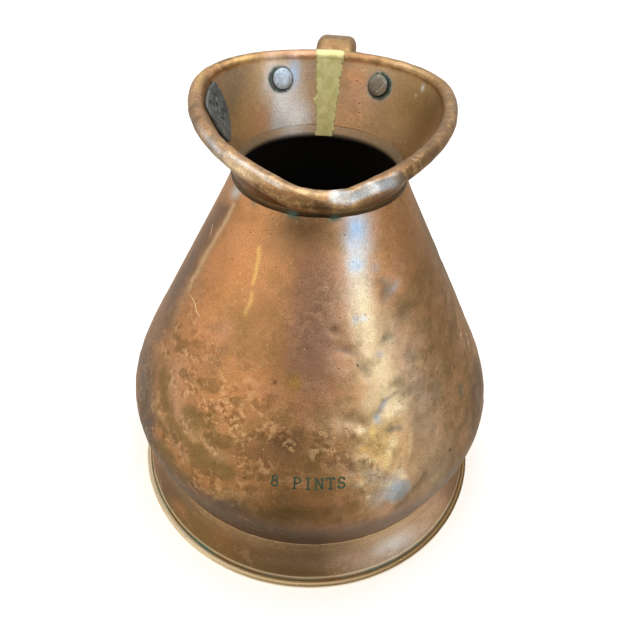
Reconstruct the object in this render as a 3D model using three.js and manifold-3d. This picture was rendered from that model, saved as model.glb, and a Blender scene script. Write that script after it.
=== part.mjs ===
// Copper haystack measure: an eight pint (4.5 litre) liquid measure in sheet copper.
// Millimetres, +Z up. The origin is on the ground, under the middle of the foot.
// The spout points along -Y, and the handle is at the back, along +Y.

import * as THREE from 'three';
import { mergeVertices } from 'three/addons/utils/BufferGeometryUtils.js';
import Module from 'manifold-3d';

// Sheet metal and the clearance left between pieces that touch
const SHEET = 1.2;
const GAP = 0.3;

// Foot: a flared skirt with its lower edge rolled outward over a wire
const FOOT_RADIUS = 114.9;
const FOOT_HEIGHT = 29;
const FOOT_BEAD = 1.9;
const FOOT_BAND = 7;
const BASE_RADIUS = 104.5;

// Body: a rounded belly under a straight cone
const BELLY_RADIUS = 113;
const BELLY_HEIGHT = 67;
const SHOULDER_RADIUS = 98.5;
const SHOULDER_HEIGHT = 108.8;
const NECK_HEIGHT = 214.6;
const NECK_RADIUS = 43.1;
const NECK_BAND = 4.4;
const BELLY_SWELL = 2;

// Bottom: a flat disc with its edge turned down
const BOTTOM_HEIGHT = 27;
const SOLDER = 3;

// Collar: a spouted funnel with its upper edge rolled outward over a wire
const RIM_HEIGHT = 252;
const RIM_BEAD = 3.5;
const RIM_BACK = 54.5;
const RIM_HALF_WIDTH = 58.7;
const RIM_WIDEST = 3;
const SPOUT_REACH = 99.9;
const SPOUT_TIP = 10;

// Brazed seams: how far they are turned from +Y towards +X, and how wide they are
const SEAM_TURN = 4;
const BODY_SEAM = 7;
const COLLAR_SEAM_TOP = 14.7;
const COLLAR_SEAM_FOOT = 11;
const CRAMP = 22;
const SEAM_SPARE = 5;
const SEAM_RAGGED = 0.6;

// Handle: a flattened tube from the collar down to the cone
const HANDLE_TURN = 5.5;
const HANDLE_WIDTH = 22;
const HANDLE_DEPTH = 14;
const HANDLE_CORNER = 4.5;
const HANDLE_REACH = 114.2;
const HANDLE_SEAM = 3.2;
const PLATE = 1.5;
const STRAP_LENGTH = 76;
const STRAP_WIDTH = 16;
const SHIELD_HEIGHT = 127;
const SHIELD_WIDTH = 50;
const SHIELD_LENGTH = 54;

// Rivets
const UPPER_RIVET_SPREAD = 53;
const UPPER_RIVET_RISE = 2.6;
const LOWER_RIVET_SPREAD = 35;
const BOTTOM_RIVET_SPREAD = 24;
const RIVET_SHANK = 2.5;
const RIVET_INNER_HEAD = 5.75;
const RIVET_OUTER_HEAD = 4.6;
const RIVET_HEAD_THICKNESS = 1.2;

// Verification seal: a lead disc soldered inside the collar, on its left, and cut straight at the rim
const SEAL_DIAMETER = 33;
const SEAL_THICKNESS = 1.4;
const SEAL_TURN = 87.5;
const SEAL_DROP = 8.5;

// Fineness of the facets
const ROUND = 48;
const RIM_STEPS = 52;
const RIM_SAMPLES = 80;
const RIVET_SIDES = 14;
const WIRE_SIDES = 6;
const SEAL_SIDES = 24;
const PLATE_FACET = 6;

// Directions round its wire: where the rim's roll ends, and where the foot's starts and ends
const RIM_LIP = -115;
const ROLL_FACET = 45;
const FOOT_ROLL = 180 + ROLL_FACET / 2;
const FOOT_LIP = FOOT_ROLL + 6 * ROLL_FACET;

const degrees = THREE.MathUtils.degToRad;
const wasm = await Module();
wasm.setup();

// Solids

function solidOf(geometry) {
  const bare = geometry.clone();
  bare.deleteAttribute('normal');
  bare.deleteAttribute('uv');
  const merged = mergeVertices(bare, 1e-4);
  const places = merged.attributes.position.array;
  const corners = [];
  for (let i = 0; i < merged.index.count; i += 3) {
    const [a, b, c] = [0, 1, 2].map((k) => merged.index.getX(i + k));
    if (a !== b && b !== c && c !== a) corners.push(a, b, c);
  }
  const at = (i) => new THREE.Vector3().fromArray(places, 3 * i);
  let volume = 0;
  for (let i = 0; i < corners.length; i += 3) {
    const [a, b, c] = corners.slice(i, i + 3).map(at);
    volume += a.dot(b.cross(c));
  }
  if (volume < 0) corners.reverse();
  return new wasm.Manifold(new wasm.Mesh({
    numProp: 3,
    vertProperties: Float32Array.from(places),
    triVerts: Uint32Array.from(corners),
  }));
}

function pieceOf(name, solid, material) {
  const { vertProperties, triVerts } = solid.getMesh();
  const geometry = new THREE.BufferGeometry();
  geometry.setAttribute('position', new THREE.BufferAttribute(vertProperties, 3));
  geometry.setIndex(new THREE.BufferAttribute(triVerts, 1));
  geometry.computeVertexNormals();
  const mesh = new THREE.Mesh(geometry, material);
  mesh.name = name;
  return mesh;
}

// A closed (radius, height) outline turned about Z, starting at -Y
function turned(outline, steps = ROUND) {
  const profile = [...outline, outline[0]].map(([radius, height]) => new THREE.Vector2(radius, height));
  return solidOf(new THREE.LatheGeometry(profile, steps).rotateX(Math.PI / 2));
}

// Closed loops of equally many points, joined each to the next and the last to the first
function ringOf(loops) {
  const places = loops.flat().flatMap((point) => point.toArray());
  const size = loops[0].length;
  const corners = [];
  loops.forEach((_, i) => {
    const here = i * size;
    const next = ((i + 1) % loops.length) * size;
    for (let j = 0; j < size; j += 1) {
      const k = (j + 1) % size;
      corners.push(here + j, here + k, next + k, here + j, next + k, next + j);
    }
  });
  const geometry = new THREE.BufferGeometry();
  geometry.setAttribute('position', new THREE.Float32BufferAttribute(places, 3));
  geometry.setIndex(corners);
  return solidOf(geometry);
}

// Points on a circle or its flat-sided outline, from one angle to another
function arc(middle, radius, from, to, steps) {
  return Array.from({ length: steps + 1 }, (_, i) => {
    const angle = degrees(from + ((to - from) * i) / steps);
    return [middle[0] + radius * Math.cos(angle), middle[1] + radius * Math.sin(angle)];
  });
}

function circle(middle, radius, sides) {
  return arc(middle, radius, 0, 360 - 360 / sides, sides - 1);
}

function bezier(points, steps) {
  const curve = new THREE.CubicBezierCurve(...points.map(([x, y]) => new THREE.Vector2(x, y)));
  return curve.getPoints(steps).map((point) => [point.x, point.y]);
}

// The same line moved sideways: to its left where the distance is positive
function offset(line, distance) {
  return line.map((point, i) => {
    const before = line[Math.max(i - 1, 0)];
    const after = line[Math.min(i + 1, line.length - 1)];
    const into = new THREE.Vector2(point[0] - before[0], point[1] - before[1]).normalize();
    const out = new THREE.Vector2(after[0] - point[0], after[1] - point[1]).normalize();
    const along = into.clone().add(out).normalize();
    const spread = distance / Math.max(along.dot(into.lengthSq() ? into : out), 0.5);
    return [point[0] - along.y * spread, point[1] + along.x * spread];
  });
}

// Walls: places on the sheet's outer face, by direction from the axis and height

const BAND_RADIUS = BASE_RADIUS - SHEET - GAP;
const BODY_FOOT = FOOT_HEIGHT - FOOT_BAND;
const CONE_SLOPE = (NECK_RADIUS - SHOULDER_RADIUS) / (NECK_HEIGHT - SHOULDER_HEIGHT);

function coneRadius(height) {
  return SHOULDER_RADIUS + CONE_SLOPE * (height - SHOULDER_HEIGHT);
}

function bodyWall(angle, height) {
  const radius = coneRadius(height);
  return new THREE.Vector3(radius * Math.cos(angle), radius * Math.sin(angle), height);
}

const COLLAR_INNER = NECK_RADIUS + GAP;
const COLLAR_FOOT = NECK_HEIGHT + GAP;
const COLLAR_FLARE = NECK_HEIGHT + NECK_BAND;

// Half of the rim's wire seen from above: an arc at the back, a long curve, a blunt tip
const RIM_LINE = new THREE.CurvePath();
const FLANK = SPOUT_REACH - SPOUT_TIP * 0.25;
RIM_LINE.add(new THREE.CubicBezierCurve(
  new THREE.Vector2(0, -SPOUT_REACH),
  new THREE.Vector2(SPOUT_TIP * 0.35, -SPOUT_REACH),
  new THREE.Vector2(SPOUT_TIP * 0.65, -SPOUT_REACH + SPOUT_TIP * 0.1),
  new THREE.Vector2(SPOUT_TIP, -FLANK),
));
RIM_LINE.add(new THREE.CubicBezierCurve(
  new THREE.Vector2(SPOUT_TIP, -FLANK),
  new THREE.Vector2(RIM_HALF_WIDTH * 0.8, -SPOUT_REACH * 0.64),
  new THREE.Vector2(RIM_HALF_WIDTH, RIM_WIDEST - SPOUT_REACH * 0.3),
  new THREE.Vector2(RIM_HALF_WIDTH, RIM_WIDEST),
));
RIM_LINE.add(new THREE.EllipseCurve(
  0, RIM_WIDEST, RIM_HALF_WIDTH, RIM_BACK - RIM_WIDEST, 0, Math.PI / 2,
));
const RIM_POINTS = RIM_LINE.curves.flatMap((curve) => curve.getPoints(RIM_SAMPLES));
const RIM_ANGLES = RIM_POINTS.map((point) => Math.atan2(point.y, point.x));

function rimPoint(angle) {
  const turn = Math.atan2(Math.sin(angle), Math.cos(angle));
  const side = Math.abs(turn) > Math.PI / 2 ? -1 : 1;
  const half = side > 0 ? turn : Math.sign(turn || 1) * Math.PI - turn;
  const last = RIM_ANGLES.length - 1;
  const found = RIM_ANGLES.findIndex((value, i) => i > 0 && value >= half);
  const i = found < 0 ? last : found;
  const span = RIM_ANGLES[i] - RIM_ANGLES[i - 1];
  const share = span > 1e-9 ? Math.min((half - RIM_ANGLES[i - 1]) / span, 1) : 0;
  const point = RIM_POINTS[i - 1].clone().lerp(RIM_POINTS[i], share);
  return new THREE.Vector3(side * point.x, point.y, RIM_HEIGHT);
}

// The rim's outward direction, level with the ground
function rimOutward(angle) {
  const step = degrees(0.5);
  const along = rimPoint(angle + step).sub(rimPoint(angle - step)).normalize();
  return new THREE.Vector3(along.y, -along.x, 0);
}

function collarLining(angle, height) {
  const low = new THREE.Vector3(Math.cos(angle), Math.sin(angle), 0).multiplyScalar(COLLAR_INNER);
  low.z = COLLAR_FLARE;
  const high = rimPoint(angle).addScaledVector(rimOutward(angle), -RIM_BEAD);
  return low.lerp(high, (height - COLLAR_FLARE) / (RIM_HEIGHT - COLLAR_FLARE));
}

// The direction that points away from the axis, square to a wall
function outwardFrom(wall, angle, height) {
  const turn = degrees(0.5);
  const rise = 0.5;
  const across = wall(angle + turn, height).sub(wall(angle - turn, height));
  const up = wall(angle, height + rise).sub(wall(angle, height - rise));
  return across.cross(up).normalize();
}

function collarWall(angle, height) {
  const lining = collarLining(angle, height);
  return lining.addScaledVector(outwardFrom(collarLining, angle, height), SHEET);
}

// A wall laid out flat round one spot of it: places by millimetres across and up
function patchOf(wall, angle, height) {
  const middle = wall(angle, height);
  const reach = Math.hypot(middle.x, middle.y);
  const rise = wall(angle, height + 1).sub(wall(angle, height - 1)).length() / 2;
  return (across, up) => {
    const there = [angle - across / reach, height + up / rise];
    return { point: wall(...there), outward: outwardFrom(wall, ...there) };
  };
}

// The same outline with its long edges split into short ones
function split(outline, longest) {
  return outline.flatMap(([x, y], i) => {
    const [nextX, nextY] = outline[(i + 1) % outline.length];
    const count = Math.max(Math.ceil(Math.hypot(nextX - x, nextY - y) / longest), 1);
    return Array.from({ length: count }, (_, k) => [
      x + ((nextX - x) * k) / count,
      y + ((nextY - y) * k) / count,
    ]);
  });
}

// A plate that lies on a patch, between two distances from the wall
function plateOn(patch, edge, low, high, rings = 3) {
  const outline = split(edge, PLATE_FACET);
  const spots = [[0, 0]];
  for (let ring = 1; ring <= rings; ring += 1) {
    outline.forEach(([across, up]) => spots.push([(across * ring) / rings, (up * ring) / rings]));
  }
  const places = [low, high].flatMap((distance) => spots.flatMap(([across, up]) => {
    const { point, outward } = patch(across, up);
    return point.addScaledVector(outward, distance).toArray();
  }));
  const count = outline.length;
  const top = spots.length;
  const corners = [];
  for (let j = 0; j < count; j += 1) {
    const k = (j + 1) % count;
    corners.push(0, 1 + j, 1 + k, top, top + 1 + k, top + 1 + j);
    for (let ring = 1; ring < rings; ring += 1) {
      const inner = 1 + (ring - 1) * count;
      const outer = inner + count;
      corners.push(inner + j, outer + j, outer + k, inner + j, outer + k, inner + k);
      corners.push(top + inner + j, top + outer + k, top + outer + j);
      corners.push(top + inner + j, top + inner + k, top + outer + k);
    }
    const last = 1 + (rings - 1) * count;
    corners.push(last + j, top + last + j, top + last + k, last + j, top + last + k, last + k);
  }
  const geometry = new THREE.BufferGeometry();
  geometry.setAttribute('position', new THREE.Float32BufferAttribute(places, 3));
  geometry.setIndex(corners);
  return solidOf(geometry);
}

// Places a turned or round solid with its own +Z along a wall's outward direction
function standOn({ point, outward }, geometry) {
  const turn = new THREE.Quaternion().setFromUnitVectors(new THREE.Vector3(0, 0, 1), outward);
  const place = new THREE.Matrix4().compose(point, turn, new THREE.Vector3(1, 1, 1));
  return solidOf(geometry.applyMatrix4(place));
}

// Outlines of the plates

function stadium(length, width, steps) {
  const run = (length - width) / 2;
  const right = arc([run, 0], width / 2, -90, 90, steps);
  return [...right, ...right.map(([x, y]) => [-x, -y])];
}

// A shield with level shoulders and a rounded point below
function shieldOutline() {
  const half = SHIELD_WIDTH / 2;
  const top = SHIELD_LENGTH * 0.4;
  const foot = top - SHIELD_LENGTH;
  const side = bezier([[0, foot], [half * 0.45, foot], [half, foot * 0.45], [half, 0]], 8);
  const shoulder = bezier([[half, 0], [half, top * 0.75], [half * 0.6, top], [0, top]], 8);
  const right = [...side, ...shoulder.slice(1)];
  return [...right, ...right.slice(1, -1).reverse().map(([x, y]) => [-x, y])];
}

// Brazed seams: a sheet is cut through at the back, and the strip fills the cut

// A cut with edges that step in and out, like cramped tabs, standing at the back
function seamCut({ turn, foot, top, low, high, tooth, near, far }, grow) {
  const count = Math.max(Math.round((high - low) / CRAMP), 2);
  const right = [];
  for (let i = 0; i <= 2 * count; i += 1) {
    const share = i / (2 * count);
    const half = (foot + (top - foot) * share) / 2;
    const step = (i % 2 ? tooth : -tooth) / 2;
    right.push([half + step + grow, low + (high - low) * share]);
  }
  right[0][1] -= grow;
  right[right.length - 1][1] += grow;
  const left = right.map(([x, y]) => [-x, y]).reverse();
  const shape = new THREE.Shape([...right, ...left].map(([x, y]) => new THREE.Vector2(x, y)));
  const geometry = new THREE.ExtrudeGeometry(shape, { depth: far - near, bevelEnabled: false });
  geometry.rotateX(Math.PI / 2).translate(0, far, 0).rotateZ(-degrees(turn));
  return solidOf(geometry);
}

function brazed(sheet, seam) {
  const strip = sheet.intersect(seamCut(seam, 0));
  return { sheet: sheet.subtract(seamCut(seam, GAP)), strip };
}

// Foot

const BEAD_MIDDLE = [FOOT_RADIUS - FOOT_BEAD, FOOT_BEAD];
const FOOT_CURL = FOOT_BEAD - SHEET;

// The skirt's inner face, from its upper edge down to the roll
function skirtLining() {
  const top = [BASE_RADIUS - SHEET, FOOT_HEIGHT];
  const bend = [BASE_RADIUS - SHEET, BODY_FOOT];
  const end = [FOOT_RADIUS - 2 * FOOT_BEAD, FOOT_BEAD * 1.4];
  const fall = bend[1] - end[1];
  const flare = bezier([
    bend, [bend[0], bend[1] - fall * 0.25], [end[0] - fall * 0.1, end[1] + fall * 0.35], end,
  ], 4);
  return [top, ...flare];
}

function skirtRadius(height) {
  const lining = skirtLining();
  const i = lining.findIndex((point) => point[1] <= height);
  const [above, below] = [lining[i - 1], lining[i]];
  return below[0] + ((above[0] - below[0]) * (height - below[1])) / (above[1] - below[1]);
}

function footSkirt() {
  const lining = skirtLining();
  const corner = FOOT_BEAD / Math.cos(degrees(ROLL_FACET / 2));
  const roll = arc(BEAD_MIDDLE, corner, FOOT_ROLL, FOOT_LIP, 6);
  const hollow = arc(BEAD_MIDDLE, FOOT_CURL, FOOT_LIP, 180, 6);
  return turned([...lining, ...roll, ...hollow, ...offset(lining, SHEET).reverse().slice(1)]);
}

// Body

function bodyShell() {
  const start = [BAND_RADIUS, FOOT_HEIGHT + 1];
  const belly = [BELLY_RADIUS, BELLY_HEIGHT];
  const shoulder = [SHOULDER_RADIUS, SHOULDER_HEIGHT];
  const rise = BELLY_HEIGHT - start[1];
  const drop = SHOULDER_HEIGHT - BELLY_HEIGHT;
  const lower = bezier([
    start, [start[0] + BELLY_SWELL, start[1] + rise * 0.17],
    [belly[0], belly[1] - rise * 0.4], belly,
  ], 5);
  const upper = bezier([
    belly, [belly[0], belly[1] + drop * 0.31],
    [shoulder[0] - CONE_SLOPE * drop * 0.34, shoulder[1] - drop * 0.34], shoulder,
  ], 4);
  const skin = [
    [BAND_RADIUS, BODY_FOOT], ...lower, ...upper.slice(1),
    [coneRadius(SHIELD_HEIGHT), SHIELD_HEIGHT], [NECK_RADIUS, NECK_HEIGHT],
    [NECK_RADIUS, NECK_HEIGHT + NECK_BAND],
  ];
  return turned([...skin, ...offset(skin, SHEET).reverse()]);
}

function bottomDisc() {
  const rim = BAND_RADIUS - SHEET - GAP;
  const outside = [[rim, BODY_FOOT], [rim, BOTTOM_HEIGHT - 1], [rim - 1, BOTTOM_HEIGHT], [0, BOTTOM_HEIGHT]];
  const inside = [[0, BOTTOM_HEIGHT - SHEET], [rim - SHEET - 1, BOTTOM_HEIGHT - SHEET]];
  const flange = [[rim - SHEET, BOTTOM_HEIGHT - SHEET - 1], [rim - SHEET, BODY_FOOT]];
  return turned([...outside, ...inside, ...flange]);
}

// Solder under the body's lower edge, on the skirt's inner face
function footSolder() {
  const high = BODY_FOOT - GAP;
  const low = high - SOLDER;
  const edge = skirtRadius(high) - GAP;
  return turned([
    [edge, high],
    [edge - SOLDER, high],
    [edge - SOLDER * 0.35, high - SOLDER * 0.35],
    [skirtRadius(low) - GAP, low],
  ]);
}

// A run of solder in a corner, with a slightly hollow face
function solderRun(corner, across, up) {
  const hollow = [corner[0] + across * 0.35, corner[1] + up * 0.35];
  return turned([corner, [corner[0] + across, corner[1]], hollow, [corner[0], corner[1] + up]]);
}

// Collar

function collarShell() {
  const loops = [];
  for (let i = 0; i < RIM_STEPS; i += 1) {
    const angle = (2 * Math.PI * i) / RIM_STEPS - Math.PI / 2;
    const round = new THREE.Vector3(Math.cos(angle), Math.sin(angle), 0);
    const wire = rimPoint(angle);
    const outward = rimOutward(angle);
    const lean = outwardFrom(collarLining, angle, RIM_HEIGHT);
    const leanAngle = THREE.MathUtils.radToDeg(Math.atan2(lean.z, Math.hypot(lean.x, lean.y)));
    const around = (radius, from, to, steps) => arc([0, 0], radius, from, to, steps).map(([out, up]) => (
      wire.clone().addScaledVector(outward, out).setZ(RIM_HEIGHT + up)
    ));
    const band = (radius, height) => round.clone().multiplyScalar(radius).setZ(height);
    const outerFlare = COLLAR_INNER + SHEET;
    loops.push([
      band(COLLAR_INNER, COLLAR_FOOT),
      band(COLLAR_INNER, COLLAR_FLARE),
      collarLining(angle, (COLLAR_FLARE + RIM_HEIGHT) / 2),
      ...around(RIM_BEAD, 180, RIM_LIP, 8),
      ...around(RIM_BEAD - SHEET, RIM_LIP, 180 + leanAngle * 0.5, 7),
      collarWall(angle, (COLLAR_FLARE + RIM_HEIGHT) / 2),
      band(outerFlare, COLLAR_FLARE - GAP),
      band(outerFlare, COLLAR_FOOT),
    ]);
  }
  return ringOf(loops);
}

function rimWire() {
  const radius = RIM_BEAD - SHEET - GAP;
  const loops = [];
  for (let i = 0; i < RIM_STEPS; i += 1) {
    const angle = (2 * Math.PI * i) / RIM_STEPS - Math.PI / 2;
    const outward = rimOutward(angle);
    loops.push(circle([0, 0], radius, WIRE_SIDES).map(([out, up]) => (
      rimPoint(angle).addScaledVector(outward, out).setZ(RIM_HEIGHT + up)
    )));
  }
  return ringOf(loops);
}

// Handle

const HANDLE_ANGLE = Math.PI / 2 - degrees(HANDLE_TURN);
const STRAP_HEIGHT = RIM_HEIGHT - RIM_BEAD - STRAP_WIDTH / 2 - 2 * GAP;
const strapPatch = patchOf(collarWall, HANDLE_ANGLE, STRAP_HEIGHT);
const shieldPatch = patchOf(bodyWall, HANDLE_ANGLE, SHIELD_HEIGHT);
const PLATE_TOP = GAP + PLATE;

// The middle line of the tube, in the upright plane through the axis and the handle
function handlePath() {
  const flat = ({ point, outward }, distance) => {
    const there = point.clone().addScaledVector(outward, distance);
    return new THREE.Vector3(0, Math.hypot(there.x, there.y), there.z);
  };
  const top = RIM_HEIGHT + RIM_BEAD - HANDLE_DEPTH / 2;
  const out = HANDLE_REACH - HANDLE_DEPTH / 2;
  const start = flat(strapPatch(0, 0), PLATE_TOP);
  const end = flat(shieldPatch(0, 0), PLATE_TOP);
  const drop = top - end.z;
  const room = out - end.y;
  return new THREE.CatmullRomCurve3([
    start.clone().add(new THREE.Vector3(0, -HANDLE_DEPTH / 2, -1)),
    start,
    start.clone().add(new THREE.Vector3(0, HANDLE_DEPTH / 2, 1.5)),
    new THREE.Vector3(0, RIM_BACK + HANDLE_DEPTH * 1.1, top - 2),
    new THREE.Vector3(0, RIM_BACK + HANDLE_DEPTH * 1.9, top),
    new THREE.Vector3(0, out - HANDLE_DEPTH * 0.75, top - HANDLE_DEPTH * 0.5),
    new THREE.Vector3(0, out - 1.5, top - drop * 0.22),
    new THREE.Vector3(0, out, top - drop * 0.42),
    new THREE.Vector3(0, out - 1, top - drop * 0.68),
    new THREE.Vector3(0, out - room * 0.38, end.z + drop * 0.13),
    flat(shieldPatch(0, 0), PLATE_TOP + room * 0.42),
    end,
    flat(shieldPatch(0, 0), PLATE_TOP - HANDLE_DEPTH / 2),
  ]);
}

// Half of a rounded box's outline, from the middle of its inner side round to its outer side
function roundedHalf(width, depth, corner, seam) {
  const low = arc([width / 2 - corner, corner - depth / 2], corner, -90, 0, 2);
  const high = arc([width / 2 - corner, depth / 2 - corner], corner, 0, 90, 2);
  return [[seam, -depth / 2], ...low, ...high];
}

function sweptAlongHandle(outline) {
  const shape = new THREE.Shape(outline.map(([x, y]) => new THREE.Vector2(x, y)));
  const geometry = new THREE.ExtrudeGeometry(shape, { steps: 20, extrudePath: handlePath() });
  return solidOf(geometry.rotateZ(-degrees(HANDLE_TURN)));
}

// What the two plates and their clearance take away from the tube's ends
function trimmed(solid) {
  const size = HANDLE_WIDTH + HANDLE_DEPTH;
  const block = stadium(size + 1, size, 6);
  const depth = -HANDLE_DEPTH;
  const upper = plateOn(strapPatch, block, depth, PLATE_TOP + GAP, 4);
  const lower = plateOn(shieldPatch, block, depth, PLATE_TOP + GAP, 4);
  return solid.subtract(upper).subtract(lower);
}

function handleTube() {
  const seam = HANDLE_SEAM / 2;
  const outer = roundedHalf(HANDLE_WIDTH, HANDLE_DEPTH, HANDLE_CORNER, seam);
  const inner = roundedHalf(HANDLE_WIDTH - 2 * SHEET, HANDLE_DEPTH - 2 * SHEET, HANDLE_CORNER - SHEET, seam);
  const mirror = (half) => half.map(([x, y]) => [-x, y]).reverse();
  const lining = [...mirror(inner).reverse(), ...inner.reverse()];
  return trimmed(sweptAlongHandle([...outer, ...mirror(outer), ...lining]));
}

function handleBraze() {
  const half = HANDLE_SEAM / 2 - GAP;
  const low = -HANDLE_DEPTH / 2;
  return trimmed(sweptAlongHandle([[-half, low], [half, low], [half, low + SHEET], [-half, low + SHEET]]));
}

// Rivets

// Along the outward direction: a flat head inside, the shank, and a domed head outside
function rivetOutline(bulge) {
  const inside = -SHEET - GAP - bulge;
  const outside = PLATE_TOP + GAP;
  const edge = RIVET_HEAD_THICKNESS * 0.4;
  const dome = arc([0, outside], 1, 0, 90, 3).slice(0, -1);
  return [
    [0, inside - RIVET_HEAD_THICKNESS],
    [RIVET_INNER_HEAD - edge, inside - RIVET_HEAD_THICKNESS],
    [RIVET_INNER_HEAD, inside - edge],
    [RIVET_INNER_HEAD, inside],
    [RIVET_SHANK, inside],
    [RIVET_SHANK, outside],
    ...dome.map(([x, y]) => [x * RIVET_OUTER_HEAD, outside + (y - outside) * RIVET_HEAD_THICKNESS * 1.6]),
    [0, outside + RIVET_HEAD_THICKNESS * 1.6],
  ];
}

function rivetAt(spot) {
  const reach = Math.hypot(spot.point.x, spot.point.y);
  const bulge = RIVET_INNER_HEAD ** 2 / (2 * (reach - SHEET));
  const profile = rivetOutline(bulge).map(([x, y]) => new THREE.Vector2(x, y));
  return standOn(spot, new THREE.LatheGeometry(profile, RIVET_SIDES).rotateX(Math.PI / 2));
}

function rivetHole(spot) {
  const depth = 4 * (SHEET + PLATE + GAP);
  const drill = new THREE.CylinderGeometry(RIVET_SHANK + GAP, RIVET_SHANK + GAP, depth, RIVET_SIDES);
  return standOn(spot, drill.rotateX(Math.PI / 2));
}

const LOWER_RIVET_RISE = SHIELD_LENGTH * 0.14;
const BOTTOM_RIVET_DROP = SHIELD_LENGTH * -0.3;
const UPPER_SPOTS = {
  left: strapPatch(UPPER_RIVET_SPREAD / 2, UPPER_RIVET_RISE),
  right: strapPatch(-UPPER_RIVET_SPREAD / 2, UPPER_RIVET_RISE),
};
const LOWER_SPOTS = {
  left: shieldPatch(LOWER_RIVET_SPREAD / 2, LOWER_RIVET_RISE),
  right: shieldPatch(-LOWER_RIVET_SPREAD / 2, LOWER_RIVET_RISE),
  bottom_left: shieldPatch(BOTTOM_RIVET_SPREAD / 2, BOTTOM_RIVET_DROP),
  bottom_right: shieldPatch(-BOTTOM_RIVET_SPREAD / 2, BOTTOM_RIVET_DROP),
};

function drilled(solid, spots) {
  return Object.values(spots).reduce((rest, spot) => rest.subtract(rivetHole(spot)), solid);
}

// Assembly

const finish = (color, roughness, metalness = 1) => (
  new THREE.MeshStandardMaterial({ color, roughness, metalness })
);
const bodyCopper = finish(0xb07a4e, 0.38);
const footCopper = finish(0x8a6547, 0.42);
const collarCopper = finish(0xa5724c, 0.36);
const handleCopper = finish(0xa9734a, 0.4);
const braze = finish(0xa8a055, 0.5);
const solder = finish(0x8c8d86, 0.55);
const ironWire = finish(0x54504c, 0.7);
const tinnedRivet = finish(0x9aa3a0, 0.45);
const lead = finish(0x6f7471, 0.6);

const collar = brazed(collarShell(), {
  turn: SEAM_TURN,
  foot: COLLAR_SEAM_FOOT,
  top: COLLAR_SEAM_TOP,
  low: COLLAR_FOOT - SEAM_SPARE,
  high: RIM_HEIGHT + RIM_BEAD + SEAM_SPARE,
  tooth: SEAM_RAGGED,
  near: COLLAR_INNER / 2,
  far: FOOT_RADIUS + SEAM_SPARE,
});
const body = brazed(bodyShell(), {
  turn: HANDLE_TURN,
  foot: BODY_SEAM,
  top: BODY_SEAM,
  low: BODY_FOOT - SEAM_SPARE,
  high: NECK_HEIGHT + NECK_BAND + SEAM_SPARE,
  tooth: BODY_SEAM * 0.5,
  near: NECK_RADIUS / 2,
  far: BELLY_RADIUS + SEAM_SPARE,
});
const foot = brazed(footSkirt(), {
  turn: HANDLE_TURN,
  foot: BODY_SEAM,
  top: BODY_SEAM,
  low: -SEAM_SPARE,
  high: FOOT_HEIGHT + SEAM_SPARE,
  tooth: BODY_SEAM * 0.4,
  near: BASE_RADIUS / 2,
  far: FOOT_RADIUS + SEAM_SPARE,
});
const wireRadius = FOOT_CURL - GAP;
const cornerRadius = COLLAR_INNER + SHEET + GAP;
const cornerHeight = SHOULDER_HEIGHT + (cornerRadius - SHOULDER_RADIUS) / CONE_SLOPE + 2 * GAP;
const neckRun = SOLDER * 0.35;
const sealPatch = patchOf(collarLining, -Math.PI / 2 - degrees(SEAL_TURN), RIM_HEIGHT - SEAL_DROP);
const sealEdge = circle([0, 0], SEAL_DIAMETER / 2, SEAL_SIDES)
  .map(([across, up]) => [across, Math.min(up, SEAL_DROP - 2 * GAP)]);

const measure = new THREE.Group();
measure.add(
  pieceOf('body', drilled(body.sheet, LOWER_SPOTS), bodyCopper),
  pieceOf('body_seam_braze', body.strip, braze),
  pieceOf('bottom', bottomDisc(), footCopper),
  pieceOf('bottom_solder', solderRun(
    [BAND_RADIUS - SHEET - GAP, BOTTOM_HEIGHT + GAP], -SOLDER, SOLDER,
  ), solder),
  pieceOf('foot', foot.sheet, footCopper),
  pieceOf('foot_seam_braze', foot.strip, braze),
  pieceOf('foot_wire', turned(circle(BEAD_MIDDLE, wireRadius, WIRE_SIDES)), ironWire),
  pieceOf('foot_solder', footSolder(), solder),
  pieceOf('collar', drilled(collar.sheet, UPPER_SPOTS), collarCopper),
  pieceOf('collar_seam_braze', collar.strip, braze),
  pieceOf('rim_wire', rimWire(), ironWire),
  pieceOf('neck_solder', turned([
    [cornerRadius, cornerHeight],
    [cornerRadius + neckRun, cornerHeight + neckRun / CONE_SLOPE],
    [cornerRadius, cornerHeight + SOLDER],
  ]), solder),
  pieceOf('verification_seal', plateOn(sealPatch, sealEdge, -GAP - SEAL_THICKNESS, -GAP), lead),
  pieceOf('handle', handleTube(), handleCopper),
  pieceOf('handle_seam_braze', handleBraze(), braze),
  pieceOf('handle_upper_strap', drilled(
    plateOn(strapPatch, stadium(STRAP_LENGTH, STRAP_WIDTH, 8), GAP, PLATE_TOP, 5), UPPER_SPOTS,
  ), handleCopper),
  pieceOf('handle_lower_shield', drilled(
    plateOn(shieldPatch, shieldOutline(), GAP, PLATE_TOP, 3), LOWER_SPOTS,
  ), handleCopper),
);
Object.entries(UPPER_SPOTS).forEach(([side, spot]) => {
  measure.add(pieceOf(`upper_rivet_${side}`, rivetAt(spot), tinnedRivet));
});
Object.entries(LOWER_SPOTS).forEach(([side, spot]) => {
  measure.add(pieceOf(`lower_rivet_${side}`, rivetAt(spot), tinnedRivet));
});

export default measure;
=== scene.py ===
"""Copper haystack measure: the fine shapes and the finish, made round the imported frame."""
import math
from collections import namedtuple

import bmesh
import bpy
import numpy as np
from mathutils import Matrix, Vector, noise
from mathutils.bvhtree import BVHTree


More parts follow.
